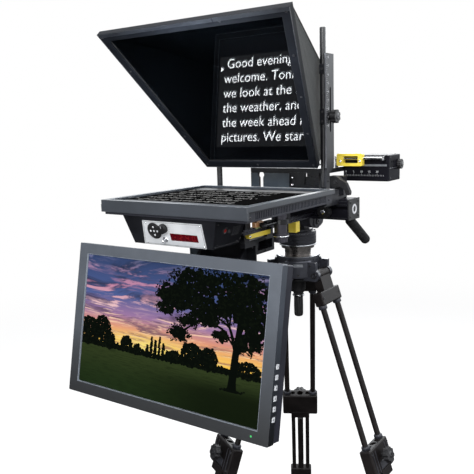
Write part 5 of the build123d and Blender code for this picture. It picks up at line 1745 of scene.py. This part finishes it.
floor_material()
bpy.ops.mesh.primitive_circle_add(vertices=96, radius=40.0, fill_type="NGON", location=(0, 0, 0))
floor = bpy.context.object
floor.name = "studio_floor"
floor.data.transform(Matrix.Translation((0, 0, LO0.z - 0.0005)))
floor.data.materials.append(MATS["studio_floor"])
floor.visible_glossy = False


def studio_world():
    """White to the camera, a soft sky for light, a brighter graded one for reflections."""
    world = bpy.data.worlds.new("studio")
    bpy.context.scene.world = world
    sky = Graph(world, "OutputWorld")

    def background(colour, strength):
        return sky.node("Background", {"Color": colour, "Strength": strength}).outputs[0]

    rays = sky.node("LightPath").outputs
    way = sky.xyz(sky.coords["Generated"])
    light = background((0.93, 0.95, 1.0), sky.linear(way["Z"], -0.12, 0.25, 0.02, 0.50))
    seen = sky.blend(rays["Is Camera Ray"], light, background((1, 1, 1), 1.0))
    shine = sky.mul(sky.linear(way["Z"], -0.20, 0.18, 0.0, 2.5),
                    sky.linear(way["X"], -0.80, -0.54, 0.30, 1.45))
    mirrored = background((0.93, 0.965, 1.0), shine)
    sky.done(sky.blend(rays["Is Glossy Ray"], seen, mirrored))


studio_world()


def area(name, place, target, size, power, colour=(1, 1, 1), height=None):
    """Area light; places and sizes in metres, power in watts."""
    light = bpy.data.lights.new(name, "AREA")
    light.energy, light.size, light.color = power, size, colour
    if height:
        light.shape, light.size_y = "RECTANGLE", height
    lamp = bpy.data.objects.new(name, light)
    bpy.context.scene.collection.objects.link(lamp)
    lamp.location = place
    aim = Vector(target) - Vector(place)
    lamp.rotation_euler = aim.to_track_quat("-Z", "Y").to_euler()
    return lamp


area("key", (1.2, -2.5, 1.35), (0, -0.3, 0.0), size=1.2, power=78, colour=(1.0, 0.99, 0.97))
area("rim_right", (2.8, 0.4, 1.2), (0.1, -0.1, -0.1), size=0.6, power=14,
     colour=(0.95, 0.97, 1.0), height=1.8)
area("top", (0.2, -0.5, 2.6), (0, -0.3, 0), size=2.0, power=60)
area("low_front", (0.6, -2.8, -0.7), (0.1, 0.1, -0.9), size=1.2, power=12)
area("back", (-0.8, 2.4, 1.2), (0, 0, 0), size=1.6, power=40)
fill = area("hood_fill", at(40, -560, 1580), at(-60, -60, 1640), size=0.16, power=3.0,
            colour=(0.80, 0.90, 1.0))
fill.visible_camera = fill.visible_glossy = False

lens = bpy.data.cameras.new("photo_view")
lens.sensor_width, lens.lens = 36.0, 49.207595
lens.clip_start, lens.clip_end = 0.05, 200
camera = bpy.data.objects.new("photo_view", lens)
bpy.context.scene.collection.objects.link(camera)
# the camera's right and backward directions; the latter is squared to the former
right, backward = Vector((0.8232, 0.5669, -0.0300)), Vector((0.5635, -0.8093, 0.1661))
right.normalize()
backward = (backward - right * backward.dot(right)).normalized()
pose = Matrix((right, backward.cross(right), backward)).transposed().to_4x4()
pose.translation = at(890.4, -1579.1, 1506.8)
camera.matrix_world = pose
bpy.context.scene.camera = camera
bpy.context.scene.view_settings.view_transform = "Standard"
bpy.context.scene.view_settings.look = "None"
